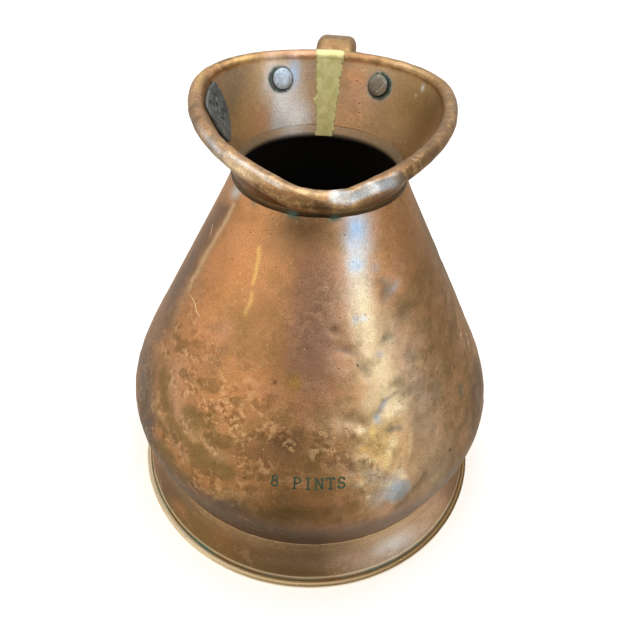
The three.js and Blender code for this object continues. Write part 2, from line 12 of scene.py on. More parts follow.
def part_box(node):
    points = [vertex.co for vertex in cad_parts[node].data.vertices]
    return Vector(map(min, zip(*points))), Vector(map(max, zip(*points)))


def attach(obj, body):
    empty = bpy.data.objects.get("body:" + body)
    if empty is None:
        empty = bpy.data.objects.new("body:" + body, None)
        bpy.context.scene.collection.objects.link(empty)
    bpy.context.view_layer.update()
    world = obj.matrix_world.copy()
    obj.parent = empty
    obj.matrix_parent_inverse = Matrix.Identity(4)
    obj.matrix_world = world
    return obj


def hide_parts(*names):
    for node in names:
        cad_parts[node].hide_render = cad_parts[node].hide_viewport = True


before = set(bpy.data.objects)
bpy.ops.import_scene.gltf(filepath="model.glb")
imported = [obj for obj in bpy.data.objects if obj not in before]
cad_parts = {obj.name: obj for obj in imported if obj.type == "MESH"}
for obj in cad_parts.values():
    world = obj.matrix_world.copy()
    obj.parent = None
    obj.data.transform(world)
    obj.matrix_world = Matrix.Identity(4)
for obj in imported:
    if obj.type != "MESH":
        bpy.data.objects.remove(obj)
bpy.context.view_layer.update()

# Lengths are in millimetres, and a mesh is scaled to metres when it is made
MM = 0.001
TURN = 2 * math.pi
FRONT = -math.pi / 2
BACK = math.pi / 2


def box_of(node):
    low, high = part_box(node)
    return low / MM, high / MM


# Sizes taken from the frame
foot_high = box_of("foot")[1]
body_low, body_high = box_of("body")
FOOT_RADIUS = foot_high.x
FOOT_TOP = foot_high.z
BELLY_RADIUS = body_high.x
BODY_FOOT = body_low.z
BODY_TOP = body_high.z
COLLAR_FOOT = box_of("collar")[0].z
COLLAR_FLARE = BODY_TOP

# Sheet, body and foot
SHEET = 1.2
GAP = 0.3
BAND_RADIUS = 103.0
BASE_RADIUS = 104.5
BELLY_HEIGHT = 67.0
BELLY_SWELL = 2.0
SHOULDER_RADIUS = 98.5
SHOULDER_HEIGHT = 108.8
NECK_RADIUS = 43.1
NECK_HEIGHT = 214.6
NECK_LEAN = 0.25
CONE_SLOPE = (NECK_RADIUS - SHOULDER_RADIUS) / (NECK_HEIGHT - SHOULDER_HEIGHT)
FOOT_BEAD = 1.9

# Collar and seal
COLLAR_INNER = 43.4
RIM_BEAD = 3.5
RIM_HEIGHT = 252.0
RIM_BACK = 54.5
RIM_HALF_WIDTH = 58.7
RIM_WIDEST = 3.0
SPOUT_REACH = 99.9
SPOUT_TIP = 10.0
REAR_LEFT_SWELL = 1.4
SEAL_RADIUS = 16.5
SEAL_THICKNESS = 1.4
SEAL_TURN = math.radians(87.5)
SEAL_DROP = 8.5

# Seams: turned from the back towards +X, and their widths
COLLAR_SEAM_TURN = math.radians(4.0)
BODY_SEAM_TURN = math.radians(5.5)
COLLAR_SEAM_TOP = 15.4
COLLAR_SEAM_FOOT = 11.0
BODY_SEAM = 7.0
CRAMP = 23.0

# Handle, its plates and rivets
HANDLE_ANGLE = BACK - BODY_SEAM_TURN
HANDLE_WIDTH = 22.0
HANDLE_DEPTH = 14.0
HANDLE_CORNER = 5.0
HANDLE_SEAM = 3.2
PLATE = 1.5
STRAP_LENGTH = 76.0
STRAP_WIDTH = 16.0
STRAP_HEIGHT = RIM_HEIGHT - RIM_BEAD - STRAP_WIDTH / 2 - 2 * GAP
SHIELD_HEIGHT = 127.0
SHIELD_WIDTH = 50.0
SHIELD_LENGTH = 54.0
RIVET_SHANK = 2.5
RIVET_HEAD = 5.75
RIVET_OUTER_HEAD = 4.6
RIVET_HEAD_THICKNESS = 1.2
STRAP_RIVETS = {"upper_rivet_left": (26.5, 2.6), "upper_rivet_right": (-26.5, 2.6)}
SHIELD_RIVETS = {
    "lower_rivet_left": (17.5, 7.6),
    "lower_rivet_right": (-17.5, 7.6),
    "lower_rivet_bottom_left": (12, -16.2),
    "lower_rivet_bottom_right": (-12, -16.2),
}

# The camera that took the photograph, found from the outline: place, tilt, turn and roll
FRAME_PIXELS = 620
FOCAL_PIXELS = 600.0
SENSOR = 36.0
CAMERA_PLACE = Vector((-4.0, -280.4, 355.7))
CAMERA_TILT = math.radians(40.13)
CAMERA_TURN = math.radians(0.43)
CAMERA_ROLL = math.radians(2.38)

camera_ahead = Vector((
    math.sin(CAMERA_TURN) * math.cos(CAMERA_TILT),
    math.cos(CAMERA_TURN) * math.cos(CAMERA_TILT),
    -math.sin(CAMERA_TILT),
))
level_right = Vector((math.cos(CAMERA_TURN), -math.sin(CAMERA_TURN), 0.0))
camera_right = Matrix.Rotation(-CAMERA_ROLL, 3, camera_ahead) @ level_right
camera_up = camera_right.cross(camera_ahead)


def seen_from_camera(points):
    """Photograph pixels (across, down) and the depth of points, as three arrays."""
    away = points - np.array(CAMERA_PLACE)
    depth = away @ np.array(camera_ahead)
    across = FRAME_PIXELS / 2 + FOCAL_PIXELS * (away @ np.array(camera_right)) / depth
    down = FRAME_PIXELS / 2 - FOCAL_PIXELS * (away @ np.array(camera_up)) / depth
    return across, down, depth


def sight_line(pixel):
    """The direction from the camera through a pixel of the photograph."""
    across, down = (value - FRAME_PIXELS / 2 for value in pixel)
    return (camera_ahead * FOCAL_PIXELS + camera_right * across - camera_up * down).normalized()


# Colours and brush marks


def tone(red, green, blue):
    """A colour as a screen shows it, turned into the linear values that shaders use."""
    def linear(value):
        value /= 255
        return value / 12.92 if value <= 0.04045 else ((value + 0.055) / 1.055) ** 2.4
    return tuple(linear(value) for value in (red, green, blue))


TONES = {
    "copper": tone(205, 154, 108),
    "orange": tone(222, 158, 108),
    "rose": tone(214, 166, 142),
    "mauve": tone(178, 138, 116),
    "dusk": tone(112, 92, 80),
    "brown": tone(164, 128, 92),
    "umber": tone(104, 82, 56),
    "olive": tone(150, 124, 80),
    "moss": tone(124, 104, 62),
    "tan": tone(206, 176, 138),
    "gold": tone(240, 200, 122),
    "cream": tone(248, 228, 186),
    "slate": tone(128, 128, 122),
    "steel": tone(166, 182, 196),
    "sky": tone(170, 204, 238),
    "silver": tone(222, 226, 230),
    "teal": tone(66, 110, 100),
    "yellow": tone(186, 152, 52),
    # Near black: for dark joints and dirt, and for painted shade
    "soot_and_shade": tone(14, 10, 6),
}

# A brush mark or a dent: its middle in photograph pixels, its two radii there and its turn in
# degrees. A mark's edge is soft at 1 and crisper above it. Without a tone it only says where.
Mark = namedtuple("Mark", "tone at reach turn strength edge", defaults=(1,))
Dent = namedtuple("Dent", "at reach turn depth")
# A brushed line through photograph pixels
Streak = namedtuple("Streak", "tone through width strength edge", defaults=(1,))


def cloud(points, grain, octaves, seed):
    """Smooth lumps, about -1 to 1, the size of the grain."""
    shift = Vector((17.3 * seed, 5.1 * seed, 9.7 * seed))
    return np.array([
        noise.fractal(Vector(point) / grain + shift, 1.0, 2.0, octaves) for point in points
    ])


def held(values):
    """Kept between 0 and 1."""
    return np.clip(values, 0, 1)


def smooth(low, high, values):
    """A soft step from 0 at low to 1 at high."""
    share = held((values - low) / (high - low))
    return share * share * (3 - 2 * share)


def between(values, low, high, soft):
    """1 between two limits and 0 outside, with soft edges."""
    return smooth(low - soft, low + soft, values) * (1 - smooth(high - soft, high + soft, values))


def bell(values, middle, width):
    """1 at the middle, falling softly to both sides."""
    return np.exp(-((values - middle) / width) ** 2)


def from_front(points):
    """The angle away from the front, to either side."""
    return np.abs(np.arctan2(points[:, 0], -points[:, 1]))


# The narrowest dent, in pixels
SMALLEST_DENT = 6.5
# How steeply a mark fades from its middle
FALL = 1.2
# How far behind the nearest skin a mark starts to fade, and over what distance
FADE_FROM, FADE_OVER = 40, 16
# How far the edges of marks stray on the body, the foot and the collar, in pixels, and the
# grain of their straying
BODY_RAGGED, FOOT_RAGGED, COLLAR_RAGGED = 4.0, 3.0, 2.5
RAGGED_GRAIN = 9.0
# The size in pixels from which the edge of a mark or a streak strays by its full measure
RAGGED_MARK, RAGGED_STREAK = 14, 6
# The skin at a mark's middle is what lies within this many pixels of it, or of its nearest point
MIDDLE_REACH, MIDDLE_SLACK = 4.0, 2.5


class View:
    """The points of a piece as the camera sees them, for marks that are placed by pixel."""

    def __init__(self, points, ragged=0.0):
        self.across, self.down, self.depth = seen_from_camera(points)
        self.warp = (0, 0)
        if ragged:
            self.warp = [ragged * cloud(points, RAGGED_GRAIN, 3, seed) for seed in (1, 2)]

    def beyond(self, nearest):
        """0 near the nearest surface, and growing where the skin turns away from it."""
        return np.maximum((self.depth - nearest - FADE_FROM) / FADE_OVER, 0) ** 2

    def ellipse(self, at, reach, turn):
        """Squared distance from a mark's middle, 1 at its edge, on the nearest surface there."""
        x, y = self.across - at[0], self.down - at[1]
        close = np.hypot(x, y)
        nearest = self.depth[close < max(close.min() + MIDDLE_SLACK, MIDDLE_REACH)].min()
        loose = min(1, min(reach) / RAGGED_MARK)
        x, y = x + self.warp[0] * loose, y + self.warp[1] * loose
        cos, sin = math.cos(math.radians(turn)), math.sin(math.radians(turn))
        along = (x * cos + y * sin) / reach[0]
        aside = (y * cos - x * sin) / reach[1]
        return along * along + aside * aside + self.beyond(nearest)

    def weight(self, mark):
        """How much of a mark lies on each point."""
        if isinstance(mark, Streak):
            return self.along(mark)
        away = self.ellipse(mark.at, mark.reach, mark.turn) ** mark.edge
        return mark.strength * np.exp(-FALL * away)

    def total(self, marks):
        return sum(self.weight(mark) for mark in marks)

    def dents(self, dents):
        """How far a set of dents goes in."""
        depth = 0
        for dent in dents:
            reach = [max(size, SMALLEST_DENT) for size in dent.reach]
            depth = depth + dent.depth * np.exp(-FALL * self.ellipse(dent.at, reach, dent.turn))
        return depth

    def along(self, streak):
        """How much of a streak lies on each point."""
        spots = np.array(streak.through, float)
        loose = min(1, streak.width / RAGGED_STREAK)
        here = np.stack([self.across + self.warp[0] * loose, self.down + self.warp[1] * loose], 1)
        nearest = np.full(len(here), 1e3)
        for start, end in zip(spots[:-1], spots[1:]):
            run = end - start
            share = held((here - start) @ run / (run @ run))
            away = np.linalg.norm(here - start - share[:, None] * run, axis=1)
            nearest = np.minimum(nearest, away)
        close = nearest < max(streak.width, nearest.min() + 1)
        away = (nearest / streak.width) ** (2 * streak.edge) + self.beyond(self.depth[close].min())
        return streak.strength * np.exp(-FALL * away)


def mixed(colours, name, weight):
    weight = held(np.atleast_1d(weight))[:, None]
    return colours + (np.array(TONES[name]) - colours) * weight


def layered(colours, *layers):
    """The colours under thin layers of other tones, each a name and its weight."""
    for name, weight in layers:
        colours = mixed(colours, name, weight)
    return colours


def painted(colours, view, marks):
    """The colours with every mark brushed over them."""
    for mark in marks:
        colours = mixed(colours, mark.tone, view.weight(mark))
    return colours


def plain(name, count):
    return np.tile(np.array(TONES[name]), (count, 1))


# Meshes


def placed(name, data):
    """A new object in the scene."""
    made = bpy.data.objects.new(name, data)
    bpy.context.scene.collection.objects.link(made)
    return made


def piece(name, points, faces, material, stands_for=()):
    """A closed piece from points in millimetres, riding on the one body of this measure."""
    mesh = bpy.data.meshes.new(name)
    mesh.from_pydata((np.asarray(points) * MM).tolist(), [], faces)
    shape = bmesh.new()
    shape.from_mesh(mesh)
    bmesh.ops.recalc_face_normals(shape, faces=shape.faces)
    shape.to_mesh(mesh)
    shape.free()
    mesh.polygons.foreach_set("use_smooth", [True] * len(mesh.polygons))
    made = placed(name, mesh)
    mesh.materials.append(material)
    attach(made, "root")
    if stands_for:
        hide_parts(*stands_for)
    return made


def points_of(made):
    return np.array([vertex.co for vertex in made.data.vertices]) / MM


def keep(made, **values):
    """Keeps a number or a colour with every point of a mesh."""
    for name, value in values.items():
        value = np.asarray(value, float)
        if value.ndim == 1:
            layer = made.data.attributes.new(name, "FLOAT", "POINT")
            layer.data.foreach_set("value", value.astype(np.float32))
        else:
            layer = made.data.attributes.new(name, "FLOAT_COLOR", "POINT")
            rows = np.hstack([value, np.ones((len(value), 1))])
            layer.data.foreach_set("color", rows.astype(np.float32).ravel())


def loop_faces(rows, size, closed=False):
    """Quads between closed outlines of one size: all the way round, or closed at both ends."""
    faces = []
    for i in range(rows if closed else rows - 1):
        here, after = i * size, (i + 1) % rows * size
        for j in range(size):
            k = (j + 1) % size
            faces.append((here + j, after + j, after + k, here + k))
    if not closed:
        faces += [tuple(range(size)), tuple(range((rows - 1) * size, rows * size))]
    return faces


def bezier(points, steps):
    """A curve from the first to the last of four points, led by the two between them."""
    a, b, c, d = (np.array(point, float) for point in points)
    share = np.linspace(0, 1, steps + 1)[:, None]
    rest = 1 - share
    return rest ** 3 * a + 3 * rest ** 2 * share * b + 3 * rest * share ** 2 * c + share ** 3 * d


def arc(middle, radius, start, end, steps):
    """Points on a circle from one angle to another, in degrees."""
    angles = np.radians(np.linspace(start, end, steps + 1))
    return np.stack([middle[0] + radius * np.cos(angles), middle[1] + radius * np.sin(angles)], 1)


# Steps over which slopes are taken: along an outline, round the rim, and round and along
# the collar's section
RUN_STEP, RIM_STEP, TURN_STEP, SHARE_STEP = 0.6, 0.012, 0.01, 0.004


class Outline:
    """A line of (radius, height) points that can be walked along by distance."""

    def __init__(self, points):
        self.points = np.array(points, float)
        steps = np.hypot(*np.diff(self.points, axis=0).T)
        self.runs = np.concatenate([[0.0], np.cumsum(steps)])
        self.length = self.runs[-1]

    def at(self, run):
        return np.stack([np.interp(run, self.runs, self.points[:, k]) for k in (0, 1)], -1)

    def outward(self, run):
        """The direction to the right of the walk, which is out of the measure on a way up."""
        step = self.at(np.asarray(run) + RUN_STEP) - self.at(np.asarray(run) - RUN_STEP)
        step /= np.hypot(step[..., 0], step[..., 1])[..., None]
        return np.stack([step[..., 1], -step[..., 0]], -1)

    def run_at(self, height):
        return float(np.interp(height, self.points[:, 1], self.runs))


def turned(angles, flat):
    """Points of (radius, height) rows turned to the angles."""
    return np.stack([flat[:, 0] * np.cos(angles), flat[:, 0] * np.sin(angles), flat[:, 1]], 1)


# How far the finer mesh reaches to either side of the front
FINE_SIDE = math.radians(112)


def angles_round(fine, coarse):
    """Angles all the way round, closer together on the side that faces the camera."""
    left, right = FRONT - FINE_SIDE, FRONT + FINE_SIDE
    near = np.linspace(left, right, fine, endpoint=False)
    far = np.linspace(right, left + TURN, coarse, endpoint=False)
    return np.concatenate([near, far])


def wander(place, seed, octaves):
    """How far an edge strays at a place along it, about -1 to 1."""
    return noise.fractal(Vector((place / 3, seed, 0)), 1.0, 2.0, octaves)


# How deep a brazed strip reaches into the skin
STRIP_DEPTH = 0.25


def ribbon(name, patch, rows, thick, material, stands_for, columns=12):
    """A thin strip on a patch: each row is (up, left edge, right edge)."""
    up, left, right = (np.repeat(column, columns) for column in zip(*rows))
    share = np.tile(np.linspace(0, 1, columns), len(rows))
    across = left + (right - left) * share
    # Full within, and down to a tenth at both edges
    stand = thick * np.minimum(1, 7 * np.minimum(share, 1 - share) + 0.1)
    top = patch(across, up, stand).reshape(len(rows), columns, 3)
    foot = patch(across, up, np.full(len(up), -STRIP_DEPTH)).reshape(len(rows), columns, 3)
    points = np.concatenate([top, foot[:, ::-1]], 1).reshape(-1, 3)
    return piece(name, points, loop_faces(len(rows), 2 * columns), material, stands_for)


def plate(name, patch, edge, thick, material, stands_for, rings=12, relief=None):
    """A plate with a worn edge that lies a gap off a patch."""
    edge = np.array(edge, float)
    worn_shares, worn_drops = [0.97, 0.99, 1.0], [0.06, 0.2, 0.5]
    shares = np.append(np.linspace(0.02, 0.93, rings), worn_shares)
    drops = np.append(np.zeros(rings), worn_drops)
    flat = np.concatenate([edge * share for share in (*shares, *shares[::-1])])
    stand = np.repeat(np.append(GAP + thick - drops, np.full(len(shares), GAP)), len(edge))
    if relief:
        top = np.arange(len(flat)) < rings * len(edge)
        stand += np.where(top, relief(flat[:, 0], flat[:, 1]), 0.0)
    points = patch(flat[:, 0], flat[:, 1], stand)
    return piece(name, points, loop_faces(2 * len(shares), len(edge)), material, stands_for)


def stadium(length, width, steps):
    run = (length - width) / 2
    right = arc((run, 0), width / 2, -90, 90, steps)
    return np.vstack([right, -right])


def spread(outline, longest):
    """The outline with its long edges split into short ones."""
    points = []
    for here, after in zip(outline, np.roll(outline, -1, axis=0)):
        count = max(math.ceil(np.hypot(*(after - here)) / longest), 1)
        points += [here + (after - here) * k / count for k in range(count)]
    return np.array(points)


# Body


def body_outline():
    start = (BAND_RADIUS, FOOT_TOP + 1)
    belly = (BELLY_RADIUS, BELLY_HEIGHT)
    shoulder = (SHOULDER_RADIUS, SHOULDER_HEIGHT)
    rise = BELLY_HEIGHT - start[1]
    drop = SHOULDER_HEIGHT - BELLY_HEIGHT
    lower = bezier([
        start, (start[0] + BELLY_SWELL, start[1] + rise * 0.17),
        (belly[0], belly[1] - rise * 0.4), belly,
    ], 24)
    upper = bezier([
        belly, (belly[0], belly[1] + drop * 0.31),
        (shoulder[0] - CONE_SLOPE * drop * 0.34, shoulder[1] - drop * 0.34), shoulder,
    ], 24)
    neck = [(NECK_RADIUS, NECK_HEIGHT), (NECK_RADIUS, BODY_TOP)]
    return Outline([(BAND_RADIUS, BODY_FOOT), *lower, *upper[1:], *neck])


BODY = body_outline()

DENTS = [
    Dent((390, 290), (5, 14), 30, 1.5),
    Dent((385, 281), (6, 5), 0, 0.8),
    Dent((413, 306), (18, 5), -33, 1.2),
    Dent((436, 315), (3, 20), 0, 0.5),
    Dent((387, 339), (9, 4), -38, 1.0),
    Dent((380, 354), (6, 5), 0, 0.4),
    Dent((345, 351), (13, 3.5), 12, 0.8),
    Dent((361, 368), (3.5, 16), -30, 0.7),
    Dent((357, 320), (4, 4), 0, 0.5),
    Dent((334, 330), (5, 4), 0, 0.5),
    Dent((413, 356), (9, 8), 0, 0.6),
    Dent((404, 379), (16, 5), -32, 0.9),
    Dent((384, 407), (3.5, 9), 30, 0.9),
    Dent((378, 419), (6, 6), 0, 0.8),
    Dent((389, 430), (12, 4), -28, 1.0),
    Dent((354, 421), (17, 4), 8, 1.0),
    Dent((362, 424), (7, 4), 0, 0.7),
    Dent((424, 398), (18, 12), -20, 0.8),
    Dent((424, 430), (17, 20), 10, 0.9),
    Dent((456, 418), (3, 26), 4, 0.7),
    Dent((468, 424), (2.5, 24), 4, 0.5),
    Dent((398, 462), (3.5, 16), 14, 0.8),
    Dent((332, 465), (13, 8), 0, 0.6),
    Dent((349, 472), (10, 5), -20, 0.5),
    Dent((402, 489), (10, 10), 0, 1.1),
    Dent((433, 476), (4, 20), 32, 0.7),
    Dent((418, 482), (3, 16), 32, 0.5),
    Dent((228, 505), (24, 7), 10, 1.3),
    Dent((286, 446), (22, 9), 8, 0.6),
    Dent((270, 412), (5, 6), 0, 0.4),
    Dent((192, 417), (9, 11), 0, 0.5),
    Dent((165, 402), (4, 13), -6, 0.5),
    Dent((199, 452), (10, 8), 10, 0.5),
    Dent((218, 467), (14, 9), 22, 0.6),
    Dent((185, 322), (6, 4), -20, 0.4),
]
RIDGES = [
    Dent((401, 277), (8, 5), -20, 0.6),
    Dent((404, 409), (14, 8), -42, 0.9),
    Dent((396, 420), (14, 3), -22, 0.7),
    Dent((374, 450), (5, 16), 4, 0.6),
    Dent((391, 452), (5, 16), 10, 0.7),
    Dent((358, 460), (14, 5), -14, 0.6),
    Dent((361, 487), (6, 9), 0, 0.7),
    Dent((386, 489), (6, 7), 0, 0.5),
    Dent((370, 358), (8, 6), 0, 0.4),
    Dent((345, 434), (20, 5), 4, 0.5),
    Dent((330, 442), (12, 5), 10, 0.4),
    Dent((288, 428), (20, 4), 6, 0.5),
    Dent((223, 493), (15, 4), 8, 0.8),
    Dent((220, 440), (22, 6), 20, 0.5),
    Dent((192, 484), (12, 8), 50, 0.5),
    Dent((180, 443), (10, 6), 50, 0.5),
]


def body_shape(points, view):
    """How far the hammered and dented skin stands out of its smooth shape."""
    height, side = points[:, 2], from_front(points)
    right = smooth(-20, 40, points[:, 0])
    battered = between(height, 52, 178, 22) * (0.3 + 0.7 * right)
    battered *= 1 - 0.5 * smooth(1.9, 2.4, side)
    lumpy = between(height, 40, 125, 16) * (1 - 0.75 * right)
    shape = -0.3 + 0.16 * cloud(points, 55, 2, 3)
    shape += battered * (0.36 * cloud(points, 19, 3, 4) + 0.16 * cloud(points, 8, 3, 5))
    shape += lumpy * 0.16 * cloud(points, 6.5, 3, 6)
    shape += 0.55 * (view.dents(RIDGES) - view.dents(DENTS))
    shape *= smooth(FOOT_TOP, FOOT_TOP + 8, height)
    return shape * (1 - smooth(NECK_HEIGHT - 14, NECK_HEIGHT - 3, height))


# Two lines along which the belly is rubbed and lumpy
RUBBED_BELLY = [(176, 366), (172, 390), (176, 408), (188, 430), (206, 443), (222, 462)]
RUBBED_FLANK = [(153, 400), (158, 414), (168, 430), (175, 446), (188, 460)]

# Brush marks on the body, laid on in this order; the painted highlights, reflections and shade
# among them are noted
BODY_MARKS = [
    # Warm orange on the left front and a mauve band down the middle: partly the copper's own
    # tones, partly a painted warm reflection and a painted dark reflection
    Mark("orange", (232, 285), (42, 95), 18, 0.75),
    Mark("orange", (245, 380), (42, 50), 0, 0.5),
    Mark("mauve", (316, 325), (30, 84), 2, 0.85, 2),
    Mark("brown", (292, 236), (34, 26), 0, 0.95),
    Mark("umber", (300, 226), (32, 14), 6, 0.6),
    # The bright streak right of the middle: a painted reflection in silver and sky blue, and below
    # it painted highlights in cream and gold
    Mark("silver", (360, 250), (14, 60), 0, 0.85),
    Mark("sky", (357, 230), (12, 17), 0, 0.9),
    Mark("sky", (358, 265), (8, 9), 0, 0.95),
    Mark("cream", (364, 310), (12, 48), -4, 0.8),
    Mark("cream", (378, 360), (20, 46), -10, 0.75),
    Mark("cream", (392, 400), (24, 36), -6, 0.7),
    Mark("gold", (384, 448), (22, 30), 0, 0.75),
    Mark("cream", (362, 472), (18, 22), 0, 0.5),
    Mark("cream", (345, 425), (30, 18), 0, 0.25),
    Mark("brown", (432, 265), (22, 66), -22, 0.5),
    Mark("olive", (440, 350), (28, 62), -12, 0.5),
    Mark("orange", (393, 277), (14, 7), -14, 0.4),
    Mark("tan", (445, 425), (24, 52), 6, 0.4),
    Mark("slate", (420, 392), (24, 14), -25, 0.35),
    Mark("slate", (424, 430), (19, 22), 0, 0.45),
    Mark("olive", (428, 470), (26, 20), 20, 0.4),
    Mark("tan", (430, 470), (40, 54), 30, 0.55),
    Mark("slate", (436, 478), (34, 50), 30, 0.35),
    # Painted reflections in silver and steel blue on the lower right
    Mark("silver", (384, 496), (22, 11), -24, 0.45),
    Mark("steel", (399, 491), (15, 10), -42, 0.9, 2.5),
    Mark("steel", (372, 476), (9, 7), 0, 0.4),
    # Small painted highlights in cream and gold on the hammered lower right
    Mark("cream", (403, 477), (5, 2.4), -8, 0.9, 2),
    Mark("cream", (386, 485), (7, 2.4), -10, 0.85, 2),
    Mark("cream", (368, 497), (4, 2.2), -30, 0.85, 2),
    Mark("cream", (359, 484), (6, 2.4), -25, 0.7, 2),
    Mark("orange", (358, 479), (4, 4), 0, 0.6, 2),
    Mark("gold", (386, 459), (3.4, 10), 8, 0.9, 2),
    Mark("cream", (394, 442), (5, 7), 20, 0.85, 2),
    Mark("gold", (373, 431), (4, 7), 20, 0.7, 2),
    Mark("cream", (361, 431), (5, 3.5), 0, 0.6, 2),
    Mark("gold", (365, 449), (8, 2.6), 4, 0.7, 2),
    Mark("cream", (372, 460), (4, 2.2), -10, 0.7, 2),
    Mark("cream", (411, 443), (2.4, 11), 6, 0.5, 2),
    Mark("slate", (396, 429), (9, 3.4), -8, 0.6, 2),
    Mark("umber", (354, 469), (7, 5), -10, 0.55, 2),
    Mark("umber", (400, 467), (1.8, 6), 14, 0.6),
    Mark("dusk", (372, 443), (5, 2.6), 0, 0.4),
    Streak("umber", [(426, 474), (418, 486), (408, 498), (396, 508)], 3, 0.6),
    # Painted shade and a painted highlight on the two sides of a ridge
    Mark("dusk", (407, 390), (13, 7), -34, 0.55, 2),
    Mark("cream", (399, 407), (14, 8), -34, 0.5, 2),
    Streak("umber", [(377, 418), (384, 403), (396, 393)], 1.8, 0.5),
    Mark("slate", (390, 290), (6, 15), 30, 0.7),
    Mark("steel", (396, 287), (2.5, 10), 30, 0.5),
    Mark("slate", (386, 281), (7, 6), 0, 0.5),
    Mark("moss", (413, 306), (19, 5.5), -33, 0.55),
    Mark("slate", (387, 339), (9, 4), -38, 0.6),
    Mark("steel", (380, 354), (5, 4), 0, 0.6),
    Mark("steel", (377, 268), (5, 5), 0, 0.4),
    Mark("moss", (413, 356), (9, 8), 0, 0.5),
    Mark("gold", (418, 364), (5, 4), 0, 0.45),
    Mark("steel", (356, 320), (3.5, 4), 0, 0.7),
    # Painted highlight beside a small pit
    Mark("silver", (364, 319), (4, 4), 0, 0.8),
    Mark("slate", (345, 351), (13, 3), 12, 0.55),
    Mark("slate", (361, 368), (3.5, 16), -30, 0.4),
    Mark("umber", (334, 330), (5, 4), 0, 0.5),
    Mark("umber", (404, 379), (16, 4), -32, 0.45),
    # Painted reflections in steel blue at the edges of two dents
    Mark("steel", (384, 406), (3, 9), 30, 0.75),
    Mark("steel", (378, 419), (5, 6), 0, 0.75),
    Mark("teal", (389, 430), (11, 3.5), -28, 0.4),
    # Painted shadow in a dent
    Mark("umber", (356, 422), (14, 3.5), 8, 0.5),
    Mark("umber", (332, 465), (12, 8), 0, 0.5),
    Mark("moss", (282, 516), (34, 11), 4, 0.8),
    Mark("olive", (326, 514), (44, 12), 0, 0.5),
    Mark("dusk", (405, 512), (22, 9), -30, 0.6),
    # Painted highlight
    Mark("cream", (398, 474), (7, 6), 0, 0.7),
    Mark("umber", (286, 446), (22, 8), 8, 0.6),
    Mark("gold", (225, 494), (15, 5), 8, 0.6),
    Mark("slate", (228, 505), (23, 6), 10, 0.75),
    Mark("dusk", (238, 511), (16, 3), 14, 0.6),
    Mark("moss", (165, 402), (5, 15), -6, 0.7),
    Mark("moss", (192, 417), (10, 12), 0, 0.7),
    Mark("moss", (174, 434), (10, 7), 20, 0.5),
    Mark("moss", (199, 452), (11, 8), 10, 0.75),
    Mark("moss", (218, 467), (15, 10), 22, 0.75),
    Mark("umber", (190, 352), (12, 6), 10, 0.35),
    # Painted shade along the left edge, where the belly turns away, and a painted highlight near
    # its top
    Mark("dusk", (144, 380), (9, 72), -2, 0.75),
    Mark("dusk", (168, 300), (7, 40), 24, 0.5),
    Mark("silver", (236, 191), (5, 8), 30, 0.8),
    Mark("olive", (232, 310), (14, 24), 20, 0.4),
    Streak("gold", [(259, 248), (257, 262), (253, 283)], 2.2, 0.75),
    Streak("gold", [(252, 293), (249, 304), (246, 314)], 2.2, 0.7),
    # Painted shade in dusk along the left of the shoulder, and a painted highlight in cream and
    # tan just inside it
    Streak("dusk", [(222, 210), (204, 238), (186, 270), (170, 302), (158, 334)], 9, 0.75),
    Streak("cream", [(233, 204), (222, 226), (209, 248), (196, 273), (189, 287)], 2.2, 0.5),
    Streak("tan", [(189, 287), (176, 311), (171, 328)], 2.6, 0.35),
    Mark("olive", (244, 325), (16, 14), 0, 0.5),
    Mark("dusk", (222, 350), (8, 8), 0, 0.5),
    # More painted shade along the left edge
    Mark("dusk", (143, 410), (11, 60), 0, 0.5),
    Mark("slate", (146, 400), (9, 60), -2, 0.45),
    # Painted shade along the bottom of the belly, where it curves in towards the foot
    Streak("dusk", [
        (146, 425), (152, 455), (166, 484), (192, 507), (228, 524), (272, 536), (320, 540),
    ], 7, 0.8),
    Streak("slate", [(146, 425), (151, 452), (164, 480), (188, 503), (222, 519)], 5, 0.5),
    Streak("tan", RUBBED_BELLY, 7, 0.5),
    Streak("tan", RUBBED_FLANK, 3.4, 0.5),
    Streak("tan", [(214, 491), (232, 493), (248, 499)], 3.4, 0.6),
    # Painted shade low on the belly
    Streak("dusk", [(155, 446), (175, 473), (192, 489), (224, 509), (262, 527)], 6, 0.55, 1.5),
    Mark("moss", (286, 508), (34, 14), 0, 0.4),
    Mark("moss", (285, 464), (52, 32), 0, 0.28),
    Mark("silver", (410, 362), (26, 72), -14, 0.2),
    Mark("moss", (236, 505), (16, 7), 10, 0.5),
    Mark("moss", (281, 494), (16, 9), 0, 0.6),
    Mark("olive", (244, 345), (22, 26), 0, 0.45),
    Mark("brown", (212, 366), (18, 24), 0, 0.6),
    Mark("umber", (266, 452), (42, 13), 4, 0.45),
    # Painted highlight in cream and painted reflection in silver
    Mark("cream", (390, 454), (10, 15), 0, 0.55),
    Mark("silver", (391, 481), (11, 10), 0, 0.55),
    Mark("umber", (453, 474), (8, 28), 28, 0.6),
    Mark("rose", (222, 330), (10, 12), 0, 0.5),
    Mark("rose", (178, 385), (16, 34), 4, 0.35),
    Mark("yellow", (295, 383), (7, 8), 0, 0.7),
    Mark("umber", (275, 383), (2.2, 2.2), 0, 0.9),
    Mark("soot_and_shade", (451, 450), (1.6, 1.6), 0, 0.9),
    Mark("umber", (270, 398), (7, 5), 0, 0.5),
    Mark("rose", (345, 372), (10, 18), -30, 0.4),
    Mark("rose", (462, 348), (3, 7), 0, 0.8),
    Mark("teal", (462, 390), (2, 7), 0, 0.8),
    # Painted shade along the right edge
    Mark("dusk", (478, 392), (7, 66), 4, 0.75),
    Mark("umber", (440, 252), (5, 66), -24, 0.6),
    Mark("teal", (293, 216), (9, 3), 10, 0.8),
    Mark("teal", (334, 219), (9, 4), 0, 0.85),
    Mark("slate", (253, 203), (4, 4), 0, 0.6),
]

